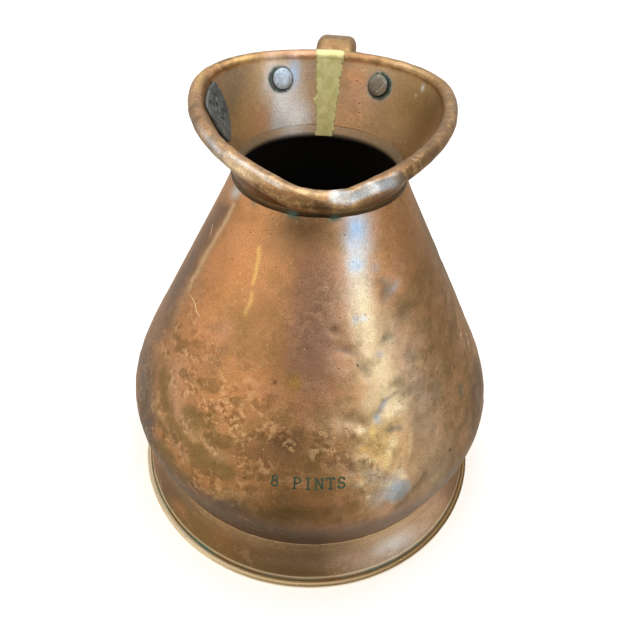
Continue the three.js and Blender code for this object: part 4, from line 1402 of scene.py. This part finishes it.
def make_rivets(patch, spots, reach, material):
    """Rivets on a patch whose lining has this radius: flat heads inside, domed ones outside."""
    for name, (across, up) in spots.items():
        spot, above = patch(np.full(2, across), np.full(2, up), np.array((0.0, 1.0)))
        inside = -SHEET - GAP - RIVET_HEAD ** 2 / (2 * reach)
        outside = 2 * GAP + PLATE
        face = inside - RIVET_HEAD_THICKNESS
        profile = [
            (0.05, face), (RIVET_HEAD * 0.5, face + 0.05), (RIVET_HEAD - 0.7, face + 0.12),
            (RIVET_HEAD - 0.2, face + 0.35), (RIVET_HEAD, face + 0.7), (RIVET_HEAD, inside),
            (RIVET_SHANK, inside), (RIVET_SHANK, outside), (RIVET_OUTER_HEAD, outside),
            *arc((0, outside + 0.3), 1, 0, 88, 8) * (RIVET_OUTER_HEAD, 1.6),
        ]
        axis = above - spot
        made = turned_piece(name + "_head", profile, spot, axis, 44, material, [name])
        points = points_of(made)
        along = (points - spot) @ axis
        away = np.linalg.norm(points - spot - along[:, None] * axis, axis=1)
        away += np.where(along > 0, RIVET_HEAD - RIVET_OUTER_HEAD - 0.2, 0)
        rim = smooth(RIVET_HEAD - 0.5, RIVET_HEAD, away)
        # The shiny rivet's head gets a painted bluish reflection in sky blue, the others a dull
        # slate
        sheen, dirt = (("sky", 0.5), 0.0) if name == SHINY_RIVET else (("slate", 0.9), 0.3)
        keep(made, tone=layered(
            plain("silver", len(points)), sheen, ("moss", dirt + 0.6 * cloud(points, 3, 2, 41)),
            ("teal", rim * 0.85), ("soot_and_shade", rim * 0.6),
        ))


# The middle of the tube: distance from the axis, and height
HANDLE_PATH = [
    (44.2, 238.2), (51.2, 239.2), (58.2, 240.7), (69.9, 246.5), (81.1, 248.5), (96.7, 241.5),
    (105.7, 222.0), (107.2, 197.8), (106.2, 166.4), (100.9, 143.5), (96.8, 131.1),
    (90.6, 127.8), (84.4, 124.6),
]


def handle_line(steps):
    """The middle of the tube as (distance from the axis, height), with its direction there."""
    knots = np.array([HANDLE_PATH[0], *HANDLE_PATH, HANDLE_PATH[-1]])
    line = []
    for i in range(len(HANDLE_PATH) - 1):
        a, b, c, d = knots[i:i + 4]
        for share in np.linspace(0, 1, steps, endpoint=False):
            line.append(0.5 * (
                2 * b + (c - a) * share + (2 * a - 5 * b + 4 * c - d) * share ** 2
                + (3 * b - a - 3 * c + d) * share ** 3
            ))
    line = np.array(line)
    along = np.gradient(line, axis=0)
    return line, along / np.hypot(along[:, 0], along[:, 1])[:, None]


def make_handle(material, braze):
    line, along = handle_line(12)
    out = np.stack([-along[:, 1], along[:, 0]], 1)
    level = np.array((math.cos(HANDLE_ANGLE), math.sin(HANDLE_ANGLE), 0.0))
    side = np.array((math.sin(HANDLE_ANGLE), -math.cos(HANDLE_ANGLE), 0.0))
    depth = HANDLE_DEPTH / 2
    x, y = HANDLE_WIDTH / 2 - HANDLE_CORNER, depth - HANDLE_CORNER
    section = spread(np.vstack([
        arc(middle, HANDLE_CORNER, 90 * i, 90 * i + 90, 8)
        for i, middle in enumerate([(x, y), (-x, y), (-x, -y), (x, -y)])
    ]), 1.6)

    edges = (STRAP_HEIGHT - STRAP_WIDTH / 2, STRAP_HEIGHT + STRAP_WIDTH / 2)
    lower, upper = (collar_place(HANDLE_ANGLE, wall_share(height)) for height in edges)
    strap_face = [(spot[2], math.hypot(spot[0], spot[1]) + GAP + PLATE) for spot in (lower, upper)]
    strap_heights, strap_reaches = zip(*strap_face)

    def place(across, lift, row):
        """A place on the tube, which ends against its plates."""
        reach, height = (line[row] + out[row] * lift[:, None]).T
        on_strap = np.interp(height, strap_heights, strap_reaches)
        on_shield = SHOULDER_RADIUS + CONE_SLOPE * (height - SHOULDER_HEIGHT) + GAP + PLATE
        reach = np.maximum(reach, np.where(height > NECK_HEIGHT, on_strap, on_shield))
        points = level * reach[:, None] + side * across[:, None]
        points[:, 2] = height
        return points

    rows = np.repeat(np.arange(len(line)), len(section))
    across, lift = np.tile(section, (len(line), 1)).T
    smooth_points = place(across, -lift, rows)
    knocks = 0.3 * cloud(smooth_points, 20, 2, 51) + 0.1 * cloud(smooth_points, 6, 2, 52)
    grow = 1 + knocks / 8
    points = place(across * grow, -lift * grow, rows)
    made = piece(
        "handle_tube", points, loop_faces(len(line), len(section)), material,
        ["handle"],
    )
    colours = layered(
        plain("copper", len(points)),
        ("brown", 0.8 + 0.4 * cloud(points, 24, 3, 53)),
        ("umber", 0.35 + smooth(0, 0.5, cloud(points, 14, 3, 56)) * 0.4),
        ("olive", smooth(0.1, 0.6, cloud(points, 10, 3, 54)) * 0.5),
    )
    keep(made, tone=colours, lumpy=held(0.2 + 0.3 * cloud(points, 20, 2, 55)))
    seam_rows = [(row, -HANDLE_SEAM / 2, HANDLE_SEAM / 2) for row in range(6, len(line) - 8)]

    def seam_patch(across, up, stand):
        return place(across, -depth - stand + 0.1, up.astype(int))

    ribbon(
        "handle_seam_strip", seam_patch, seam_rows, 0.12, braze, ["handle_seam_braze"], 8,
    )


# Words and scratches


STROKE_WIDTH = 0.9
# How far a stroke or a scratch stands off the skin, and reaches into it
STROKE_STAND, SCRATCH_STAND, CUT_DEPTH = 0.05, 0.08, 0.3


def stroke(skin, spots):
    """A flat line on the skin through spots of (across, up), as one closed strip."""
    spots = np.array(spots, float)
    along = np.gradient(spots, axis=0)
    along /= np.hypot(along[:, 0], along[:, 1])[:, None]
    aside = np.stack([-along[:, 1], along[:, 0]], 1) * STROKE_WIDTH / 2
    left, right = spots - aside, spots + aside
    corners = np.stack([left, right, right, left], 1).reshape(-1, 2)
    stands = np.tile([STROKE_STAND, STROKE_STAND, -CUT_DEPTH, -CUT_DEPTH], len(spots))
    return skin(corners[:, 0], corners[:, 1], stands), loop_faces(len(spots), 4)


def bowl(middle, radii, start, end):
    """A round stroke of a letter."""
    return arc((0, 0), 1, start, end, 18) * radii + middle


# Letters with slab serifs, as strokes on a square of side 1
GLYPHS = {
    "8": [
        bowl((0.5, 0.75), (0.26, 0.24), -90, 270), bowl((0.5, 0.26), (0.33, 0.27), 90, 450),
    ],
    "P": [
        [(0.25, 0), (0.25, 1)], [(0.05, 0), (0.5, 0)], [(0.05, 1), (0.3, 1)],
        np.vstack([[(0.25, 1)], bowl((0.55, 0.74), (0.3, 0.26), 90, -90), [(0.25, 0.48)]]),
    ],
    "I": [[(0.5, 0), (0.5, 1)], [(0.25, 0), (0.75, 0)], [(0.25, 1), (0.75, 1)]],
    "N": [
        [(0.18, 0), (0.18, 1)], [(0.18, 1), (0.82, 0)], [(0.82, 0), (0.82, 1)],
        [(0, 0), (0.38, 0)], [(0, 1), (0.2, 1)], [(0.62, 1), (1, 1)],
    ],
    "T": [
        [(0.5, 0), (0.5, 1)], [(0.28, 0), (0.72, 0)], [(0.06, 1), (0.94, 1)],
        [(0.06, 1), (0.06, 0.8)], [(0.94, 1), (0.94, 0.8)],
    ],
    "S": [
        np.vstack([
            bowl((0.5, 0.74), (0.3, 0.26), 10, 250), bowl((0.5, 0.26), (0.33, 0.26), 80, -170),
        ]),
        [(0.82, 0.98), (0.82, 0.72)], [(0.16, 0.02), (0.16, 0.3)],
    ],
}
WORD = "8 PINTS"
WORD_HEIGHT = 6.2
WORD_PITCH = 5.75
WORD_FOOT = 91.0
LETTER_WIDTH = 4.7


def make_words(material):
    skin = body_patch(FRONT, WORD_FOOT)
    points, faces = [], []
    for i, letter in enumerate(WORD):
        start = (i - len(WORD) / 2) * WORD_PITCH + (WORD_PITCH - LETTER_WIDTH) / 2
        for line in GLYPHS.get(letter, []):
            line = np.array(line, float)
            if len(line) == 2:
                line = np.linspace(line[0], line[1], 8)
            spots = np.stack([-(start + line[:, 0] * LETTER_WIDTH), line[:, 1] * WORD_HEIGHT], 1)
            strip, strip_faces = stroke(skin, spots)
            faces += [tuple(corner + len(points) for corner in face) for face in strip_faces]
            points += list(strip)
    piece("capacity_mark", points, faces, material)


# Their pixels in the photograph, and their widths
SCRATCHES = {
    "hooked": ([(186, 291), (191, 296), (195, 303), (196, 311), (200, 317)], 0.5),
    "long_right": ([(466, 333), (468, 342), (470, 352)], 0.45),
    "short_right": ([(461, 330), (461, 340)], 0.4),
    "far_left": ([(213, 224), (211, 232), (209, 238)], 0.45),
}


def make_scratches(skin, material):
    """Bright lines cut into the skin, along pixels of the photograph."""
    tree = BVHTree.FromObject(skin, bpy.context.evaluated_depsgraph_get())
    for name, (pixels, width) in SCRATCHES.items():
        spots = []
        for pixel in pixels:
            place, normal, _, _ = tree.ray_cast(CAMERA_PLACE * MM, sight_line(pixel))
            spots.append((place / MM, normal))
        points = []
        for i, (place, normal) in enumerate(spots):
            along = spots[min(i + 1, len(spots) - 1)][0] - spots[max(i - 1, 0)][0]
            narrowed = 0.3 if i in (0, len(spots) - 1) else 1
            aside = along.cross(normal).normalized() * width / 2 * narrowed
            high, low = place + normal * SCRATCH_STAND, place - normal * CUT_DEPTH
            points += [high + aside, high - aside, low - aside, low + aside]
        piece("scratch_" + name, points, loop_faces(len(spots), 4), material)


# Finishes


class Socket:
    """An output of a node tree: plain arithmetic on it adds Math nodes."""

    def __init__(self, nodes, output):
        self.nodes = nodes
        self.output = output

    def math(self, operation, *values):
        return self.nodes.node("ShaderNodeMath", {"operation": operation}, dict(enumerate(values)))

    def __add__(self, other):
        return self.math("ADD", self, other)

    def __sub__(self, other):
        return self.math("SUBTRACT", self, other)

    def __rsub__(self, other):
        return self.math("SUBTRACT", other, self)

    def __mul__(self, other):
        return self.math("MULTIPLY", self, other)

    __radd__ = __add__
    __rmul__ = __mul__

    def step(self, low, high):
        """0 below low, 1 above high and soft between them."""
        settings = {"interpolation_type": "SMOOTHSTEP"}
        return self.nodes.node("ShaderNodeMapRange", settings, {0: self, 1: low, 2: high})

    def held(self):
        """Kept between 0 and 1."""
        return self.nodes.node("ShaderNodeClamp", {}, {0: self})


class Nodes:
    """A node tree that is written as plain calls."""

    def __init__(self, tree):
        self.tree = tree
        self.tree.nodes.clear()

    def node(self, kind, settings, inputs, output=0):
        made = self.tree.nodes.new(kind)
        for key, value in settings.items():
            setattr(made, key, value)
        for key, value in inputs.items():
            self.feed(made.inputs[key], value)
        return Socket(self, made.outputs[output])

    def feed(self, target, value):
        if isinstance(value, Socket):
            self.tree.links.new(value.output, target)
        elif isinstance(value, tuple) and target.type == "RGBA":
            target.default_value = (*value, 1.0)
        else:
            target.default_value = value

    def mix(self, share, first, second, how="MIX"):
        settings = {"data_type": "RGBA", "blend_type": how, "clamp_factor": True}
        return self.node("ShaderNodeMix", settings, {0: share, 6: first, 7: second}, 2)


class Finish(Nodes):
    """A material with its own shader."""

    def __init__(self, name, **constants):
        self.material = bpy.data.materials.new(name)
        self.material.use_nodes = True
        super().__init__(self.material.node_tree)
        self.shader = self.tree.nodes.new("ShaderNodeBsdfPrincipled")
        end = self.tree.nodes.new("ShaderNodeOutputMaterial")
        self.tree.links.new(self.shader.outputs[0], end.inputs["Surface"])
        self.set(**constants)

    def set(self, **values):
        for name, value in values.items():
            self.feed(self.shader.inputs[name.replace("_", " ")], value)

    def place(self):
        """The piece's own coordinates, in millimetres."""
        own = self.node("ShaderNodeTexCoord", {}, {}, "Object")
        return self.node("ShaderNodeVectorMath", {"operation": "SCALE"}, {0: own, 3: 1 / MM})

    def noise(self, place, grain, detail=3.0, rough=0.55, distortion=0.0):
        """Soft patches of a size, around 0.5."""
        return self.node("ShaderNodeTexNoise", {}, {
            "Vector": place, "Scale": 1 / grain, "Detail": detail, "Roughness": rough,
            "Distortion": distortion,
        })

    def dots(self, place, grain, core, edge):
        """Scattered dots: 1 in their core, 0 beyond their edge."""
        inputs = {"Vector": place, "Scale": 1 / grain}
        away = self.node("ShaderNodeTexVoronoi", {"feature": "F1"}, inputs, "Distance")
        return 1 - away.step(core, edge)

    def kept(self, name, output="Fac"):
        """A number or a colour that the mesh keeps."""
        return self.node("ShaderNodeAttribute", {"attribute_name": name}, {}, output)

    def bump(self, height, strength, distance):
        inputs = {"Strength": strength, "Distance": distance * MM, "Height": height}
        return self.node("ShaderNodeBump", {}, inputs, "Normal")


GREY = (0.5, 0.5, 0.5)
BRIGHT = (1.6, 1.6, 1.6)


def aged_copper(name, worn=0.4):
    """Old copper: the kept tones, with lumps, patina, speckles, pits and painted glints."""
    finish = Finish(name)
    place = finish.place()
    lumpy, green, inside, sparkle, bare = (
        finish.kept(kept) for kept in ("lumpy", "green", "inside", "sparkle", "bare")
    )

    def patches(grain, low, high, *shape):
        return finish.noise(place, grain, *shape).step(low, high)

    smooth_patch = patches(13, 0.52, 0.60, 3.0, 0.5, 0.3) * lumpy
    clump = patches(9, 0.42, 0.58, 3.0, 0.5)
    blob = finish.noise(place, 3.3, 2.0, 0.5, 0.2)
    lump = (blob.step(0.50, 0.60) * clump * lumpy * (1 - smooth_patch * 0.6)).held()
    hollow = (1 - blob.step(0.38, 0.50)) * clump * lumpy
    grain = patches(0.55, 0.25, 0.75, 2.0, 0.75)
    colour = finish.mix(smooth_patch * 0.55, finish.kept("tone", "Color"), TONES["moss"])
    colour = finish.mix((hollow * 0.6).held(), colour, tone(128, 98, 60))
    colour = finish.mix((lump * 0.6).held(), colour, tone(240, 200, 150))
    speckled = 0.42 + patches(40, 0.35, 0.65, 2.0, 0.5) * 0.22
    colour = finish.mix(speckled, colour, finish.mix(grain, GREY, BRIGHT), "MULTIPLY")
    dark_specks = patches(1.1, 0.66, 0.74, 2.0, 0.6) * patches(24, 0.45, 0.6)
    colour = finish.mix(dark_specks * 0.55, colour, TONES["umber"])
    pits = finish.dots(place, 5.5, 0.05, 0.11) * patches(26, 0.46, 0.56)
    colour = finish.mix(pits * 0.75, colour, TONES["umber"])
    # Painted glints: tiny points mixed to cream, more of them along the highlights
    pinheads = patches(0.9, 0.70, 0.78, 1.0, 0.5) * patches(17, 0.50, 0.62)
    glints = finish.dots(place, 8.0, 0.03, 0.06) * patches(19, 0.50, 0.56)
    sparks = patches(0.75, 0.62, 0.70, 1.0, 0.5) * patches(7, 0.44, 0.60) * sparkle
    bright = ((pinheads * 0.6 + glints + sparks * 0.9) * (1 - inside)).held()
    colour = finish.mix(bright, colour, TONES["cream"])
    colour = finish.mix((green * (0.5 + grain)).held(), colour, TONES["teal"])
    rough = 0.37 - 0.08 * worn + grain * 0.10 + smooth_patch * 0.10 + green * 0.3
    relief = grain * 0.14 + lump * 0.35 - smooth_patch * 0.3 - pits * 0.8 - dark_specks * 0.3
    finish.set(
        Base_Color=colour,
        Roughness=(rough + inside * 0.5).held(),
        Metallic=(1 - green * 0.8 - inside * 0.8 - bare).held(),
        Normal=finish.bump(relief, 0.6, 0.4),
    )
    return finish.material


def brazing_metal():
    """Yellow-olive brass solder, blotched and pitted."""
    finish = Finish("brazing_metal", Metallic=0.7)
    place = finish.place()
    cloudy = finish.noise(place, 6, 5.0, 0.6)
    colour = finish.mix(cloudy.step(0.35, 0.65), tone(212, 209, 154), tone(192, 189, 130))
    pits = finish.dots(place, 1.5, 0.08, 0.18) * finish.noise(place, 8).step(0.52, 0.62)
    colour = finish.mix(pits * 0.8, colour, tone(92, 84, 40))
    fine = finish.noise(place, 0.8, 2.0, 0.7)
    colour = finish.mix(0.35, colour, finish.mix(fine, GREY, BRIGHT), "MULTIPLY")
    relief = cloudy * 0.5 - pits
    finish.set(
        Base_Color=colour, Roughness=0.40 + cloudy * 0.2, Normal=finish.bump(relief, 0.5, 0.3),
    )
    return finish.material


def dull_metal(name, light, dark, grain, metallic, roughness):
    """A dull metal that wanders between two tones."""
    finish = Finish(name, Metallic=metallic)
    place = finish.place()
    cloudy = finish.noise(place, grain, 5.0, 0.6)
    fine = finish.noise(place, grain / 6, 3.0, 0.6)
    uneven = cloudy * 0.6 + fine * 0.4
    finish.set(
        Base_Color=finish.mix(uneven.step(0.38, 0.62), dark, light),
        Roughness=roughness + fine * 0.2, Normal=finish.bump(uneven, 0.6, 0.25),
    )
    return finish.material


def tinned_rivet():
    """Tinned heads, scratched and rubbed, in the kept tones."""
    finish = Finish("tinned_rivet", Metallic=0.9)
    place = finish.place()
    stretched = finish.node("ShaderNodeMapping", {}, {
        "Vector": place, "Rotation": (0.3, 0.2, 0.7), "Scale": (0.3, 2.4, 0.3),
    })
    lines = finish.noise(stretched, 1.2, 3.0, 0.6).step(0.58, 0.66)
    cloudy = finish.noise(place, 1.6, 3.0, 0.6)
    colour = finish.mix(cloudy.step(0.4, 0.6) * 0.35, finish.kept("tone", "Color"), TONES["slate"])
    colour = finish.mix(lines * 0.5, colour, TONES["silver"])
    relief = cloudy + lines * 0.4
    finish.set(
        Base_Color=colour, Roughness=0.3 + cloudy * 0.2, Normal=finish.bump(relief, 0.5, 0.25),
    )
    return finish.material


def verdigris_fill():
    """Dark green dirt in the stamped letters."""
    finish = Finish("letter_fill", Metallic=0.1, Roughness=0.6)
    uneven = finish.noise(finish.place(), 1.6, 3.0, 0.6).step(0.35, 0.65)
    finish.set(Base_Color=finish.mix(uneven, tone(30, 46, 28), tone(44, 76, 52)))
    return finish.material


# Floor, lights and camera


def make_floor():
    side = 4.0
    corners = [(-side, -side, 0), (side, -side, 0), (side, side, 0), (-side, side, 0)]
    mesh = bpy.data.meshes.new("floor")
    mesh.from_pydata(corners, [], [(0, 1, 2, 3)])
    floor = placed("floor", mesh)
    pale = Finish("pale_floor", Base_Color=(0.96, 0.96, 0.96), Roughness=0.9)
    mesh.materials.append(pale.material)
    floor.visible_glossy = False


# Where the lights point, in metres
LIT_SPOT = Vector((0, 0, 0.12))


def soft_box(name, turn, rise, width, height, brightness, colour, distance=1.6):
    """An area light that faces the measure. Its turn from the front towards +X and its rise are
    in degrees, and its width, height and distance in metres."""
    light = bpy.data.lights.new(name, "AREA")
    light.shape = "RECTANGLE"
    light.size = width
    light.size_y = height
    light.energy = brightness * math.pi * width * height
    light.color = colour
    lamp = placed(name, light)
    turn, rise = math.radians(turn), math.radians(rise)
    level = math.cos(rise)
    away = Vector((math.sin(turn) * level, -math.cos(turn) * level, math.sin(rise)))
    lamp.location = LIT_SPOT + away * distance
    lamp.rotation_euler = away.to_track_quat("Z", "Y").to_euler()


def make_lights():
    """Each light by its turn, rise, width, height, brightness and colour."""
    warm, cool, plain_white = (1.0, 0.93, 0.84), (0.66, 0.83, 1.0), (1.0, 0.98, 0.95)
    soft_box("left_wall", -62, 14, 2.0, 1.3, 0.46, warm)
    soft_box("window", 33, 24, 0.22, 0.9, 4.5, cool)
    soft_box("right_wall", 60, 4, 0.8, 0.6, 0.6, warm)
    soft_box("rear_strip", -112, 20, 0.25, 0.9, 0.9, plain_white)
    soft_box("ceiling", 0, 88, 3.2, 3.2, 1.6, plain_white, 1.7)


# What the copper mirrors beside the lights: a direction, how near to it the glow starts and
# is full, and its colour
Glow = namedtuple("Glow", "direction start full colour")
GLOWS = [
    Glow((0.00, -0.15, -1.00), 0.55, 0.97, (0.30, 0.26, 0.21)),
    Glow((-0.75, -0.30, -0.55), 0.40, 0.95, (0.60, 0.52, 0.42)),
    Glow((0.70, -0.45, -0.50), 0.50, 0.97, (0.98, 0.92, 0.82)),
    Glow((0.05, -0.85, -0.50), 0.75, 0.98, (0.24, 0.20, 0.15)),
    Glow((0.05, -0.95, 0.28), 0.80, 0.99, (0.46, 0.41, 0.38)),
    Glow((1.00, 0.20, -0.10), 0.50, 0.95, (0.42, 0.38, 0.32)),
    Glow((0.00, 0.55, 0.60), 0.30, 0.95, (0.75, 0.74, 0.72)),
]
ROOM = (0.60, 0.55, 0.49)


def make_room():
    world = bpy.data.worlds.new("room")
    bpy.context.scene.world = world
    world.use_nodes = True
    room = Nodes(world.node_tree)
    ahead = room.node("ShaderNodeTexCoord", {}, {}, "Generated")
    colour = ROOM
    for glow in GLOWS:
        direction = Vector(glow.direction).normalized()
        inputs = {0: ahead, 1: direction}
        near = room.node("ShaderNodeVectorMath", {"operation": "DOT_PRODUCT"}, inputs, "Value")
        colour = room.mix(near.step(glow.start, glow.full), colour, glow.colour)
    background = room.tree.nodes.new("ShaderNodeBackground")
    room.feed(background.inputs["Color"], colour)
    end = room.tree.nodes.new("ShaderNodeOutputWorld")
    room.tree.links.new(background.outputs[0], end.inputs["Surface"])


def make_camera():
    lens = bpy.data.cameras.new("camera")
    lens.sensor_width = SENSOR
    lens.lens = FOCAL_PIXELS / FRAME_PIXELS * SENSOR
    lens.clip_start = 0.01
    camera = placed("camera", lens)
    turn = Matrix((camera_right, camera_up, -camera_ahead)).transposed().to_4x4()
    camera.matrix_world = Matrix.Translation(CAMERA_PLACE * MM) @ turn
    bpy.context.scene.camera = camera
    bpy.context.scene.view_settings.view_transform = "Standard"


def dressed(nodes, material):
    """CAD nodes that keep their shape and get their finish."""
    for node in nodes:
        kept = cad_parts[node]
        kept.data.materials.clear()
        kept.data.materials.append(material)


def main():
    make_floor()
    make_lights()
    make_room()
    make_camera()
    braze = brazing_metal()
    solder = dull_metal("solder", tone(176, 176, 168), tone(108, 108, 102), 8, 0.8, 0.4)
    lead = dull_metal("lead", tone(118, 124, 124), tone(72, 78, 80), 5, 0.6, 0.45)
    wire = dull_metal("wire", tone(90, 84, 78), tone(60, 55, 50), 5, 0.8, 0.5)
    tinned = dull_metal("tinned_bottom", tone(128, 110, 92), tone(84, 70, 56), 20, 0.6, 0.5)
    handle_copper = aged_copper("handle_copper", 0.6)
    skin = make_body()
    make_foot()
    make_collar()
    make_collar_seam(braze)
    make_body_seams(braze)
    make_neck_fillet()
    make_seal(lead)
    wall_patch, skin_patch = make_plates(handle_copper)
    rivet = tinned_rivet()
    make_rivets(wall_patch, STRAP_RIVETS, COLLAR_INNER + 6, rivet)
    make_rivets(skin_patch, SHIELD_RIVETS, SHOULDER_RADIUS, rivet)
    make_handle(handle_copper, braze)
    make_words(verdigris_fill())
    make_scratches(skin, dull_metal("cut_copper", TONES["cream"], TONES["tan"], 4, 1.0, 0.3))
    dressed(["bottom_solder", "foot_solder"], solder)
    dressed(["foot_wire", "rim_wire"], wire)
    dressed(["bottom"], tinned)


main()
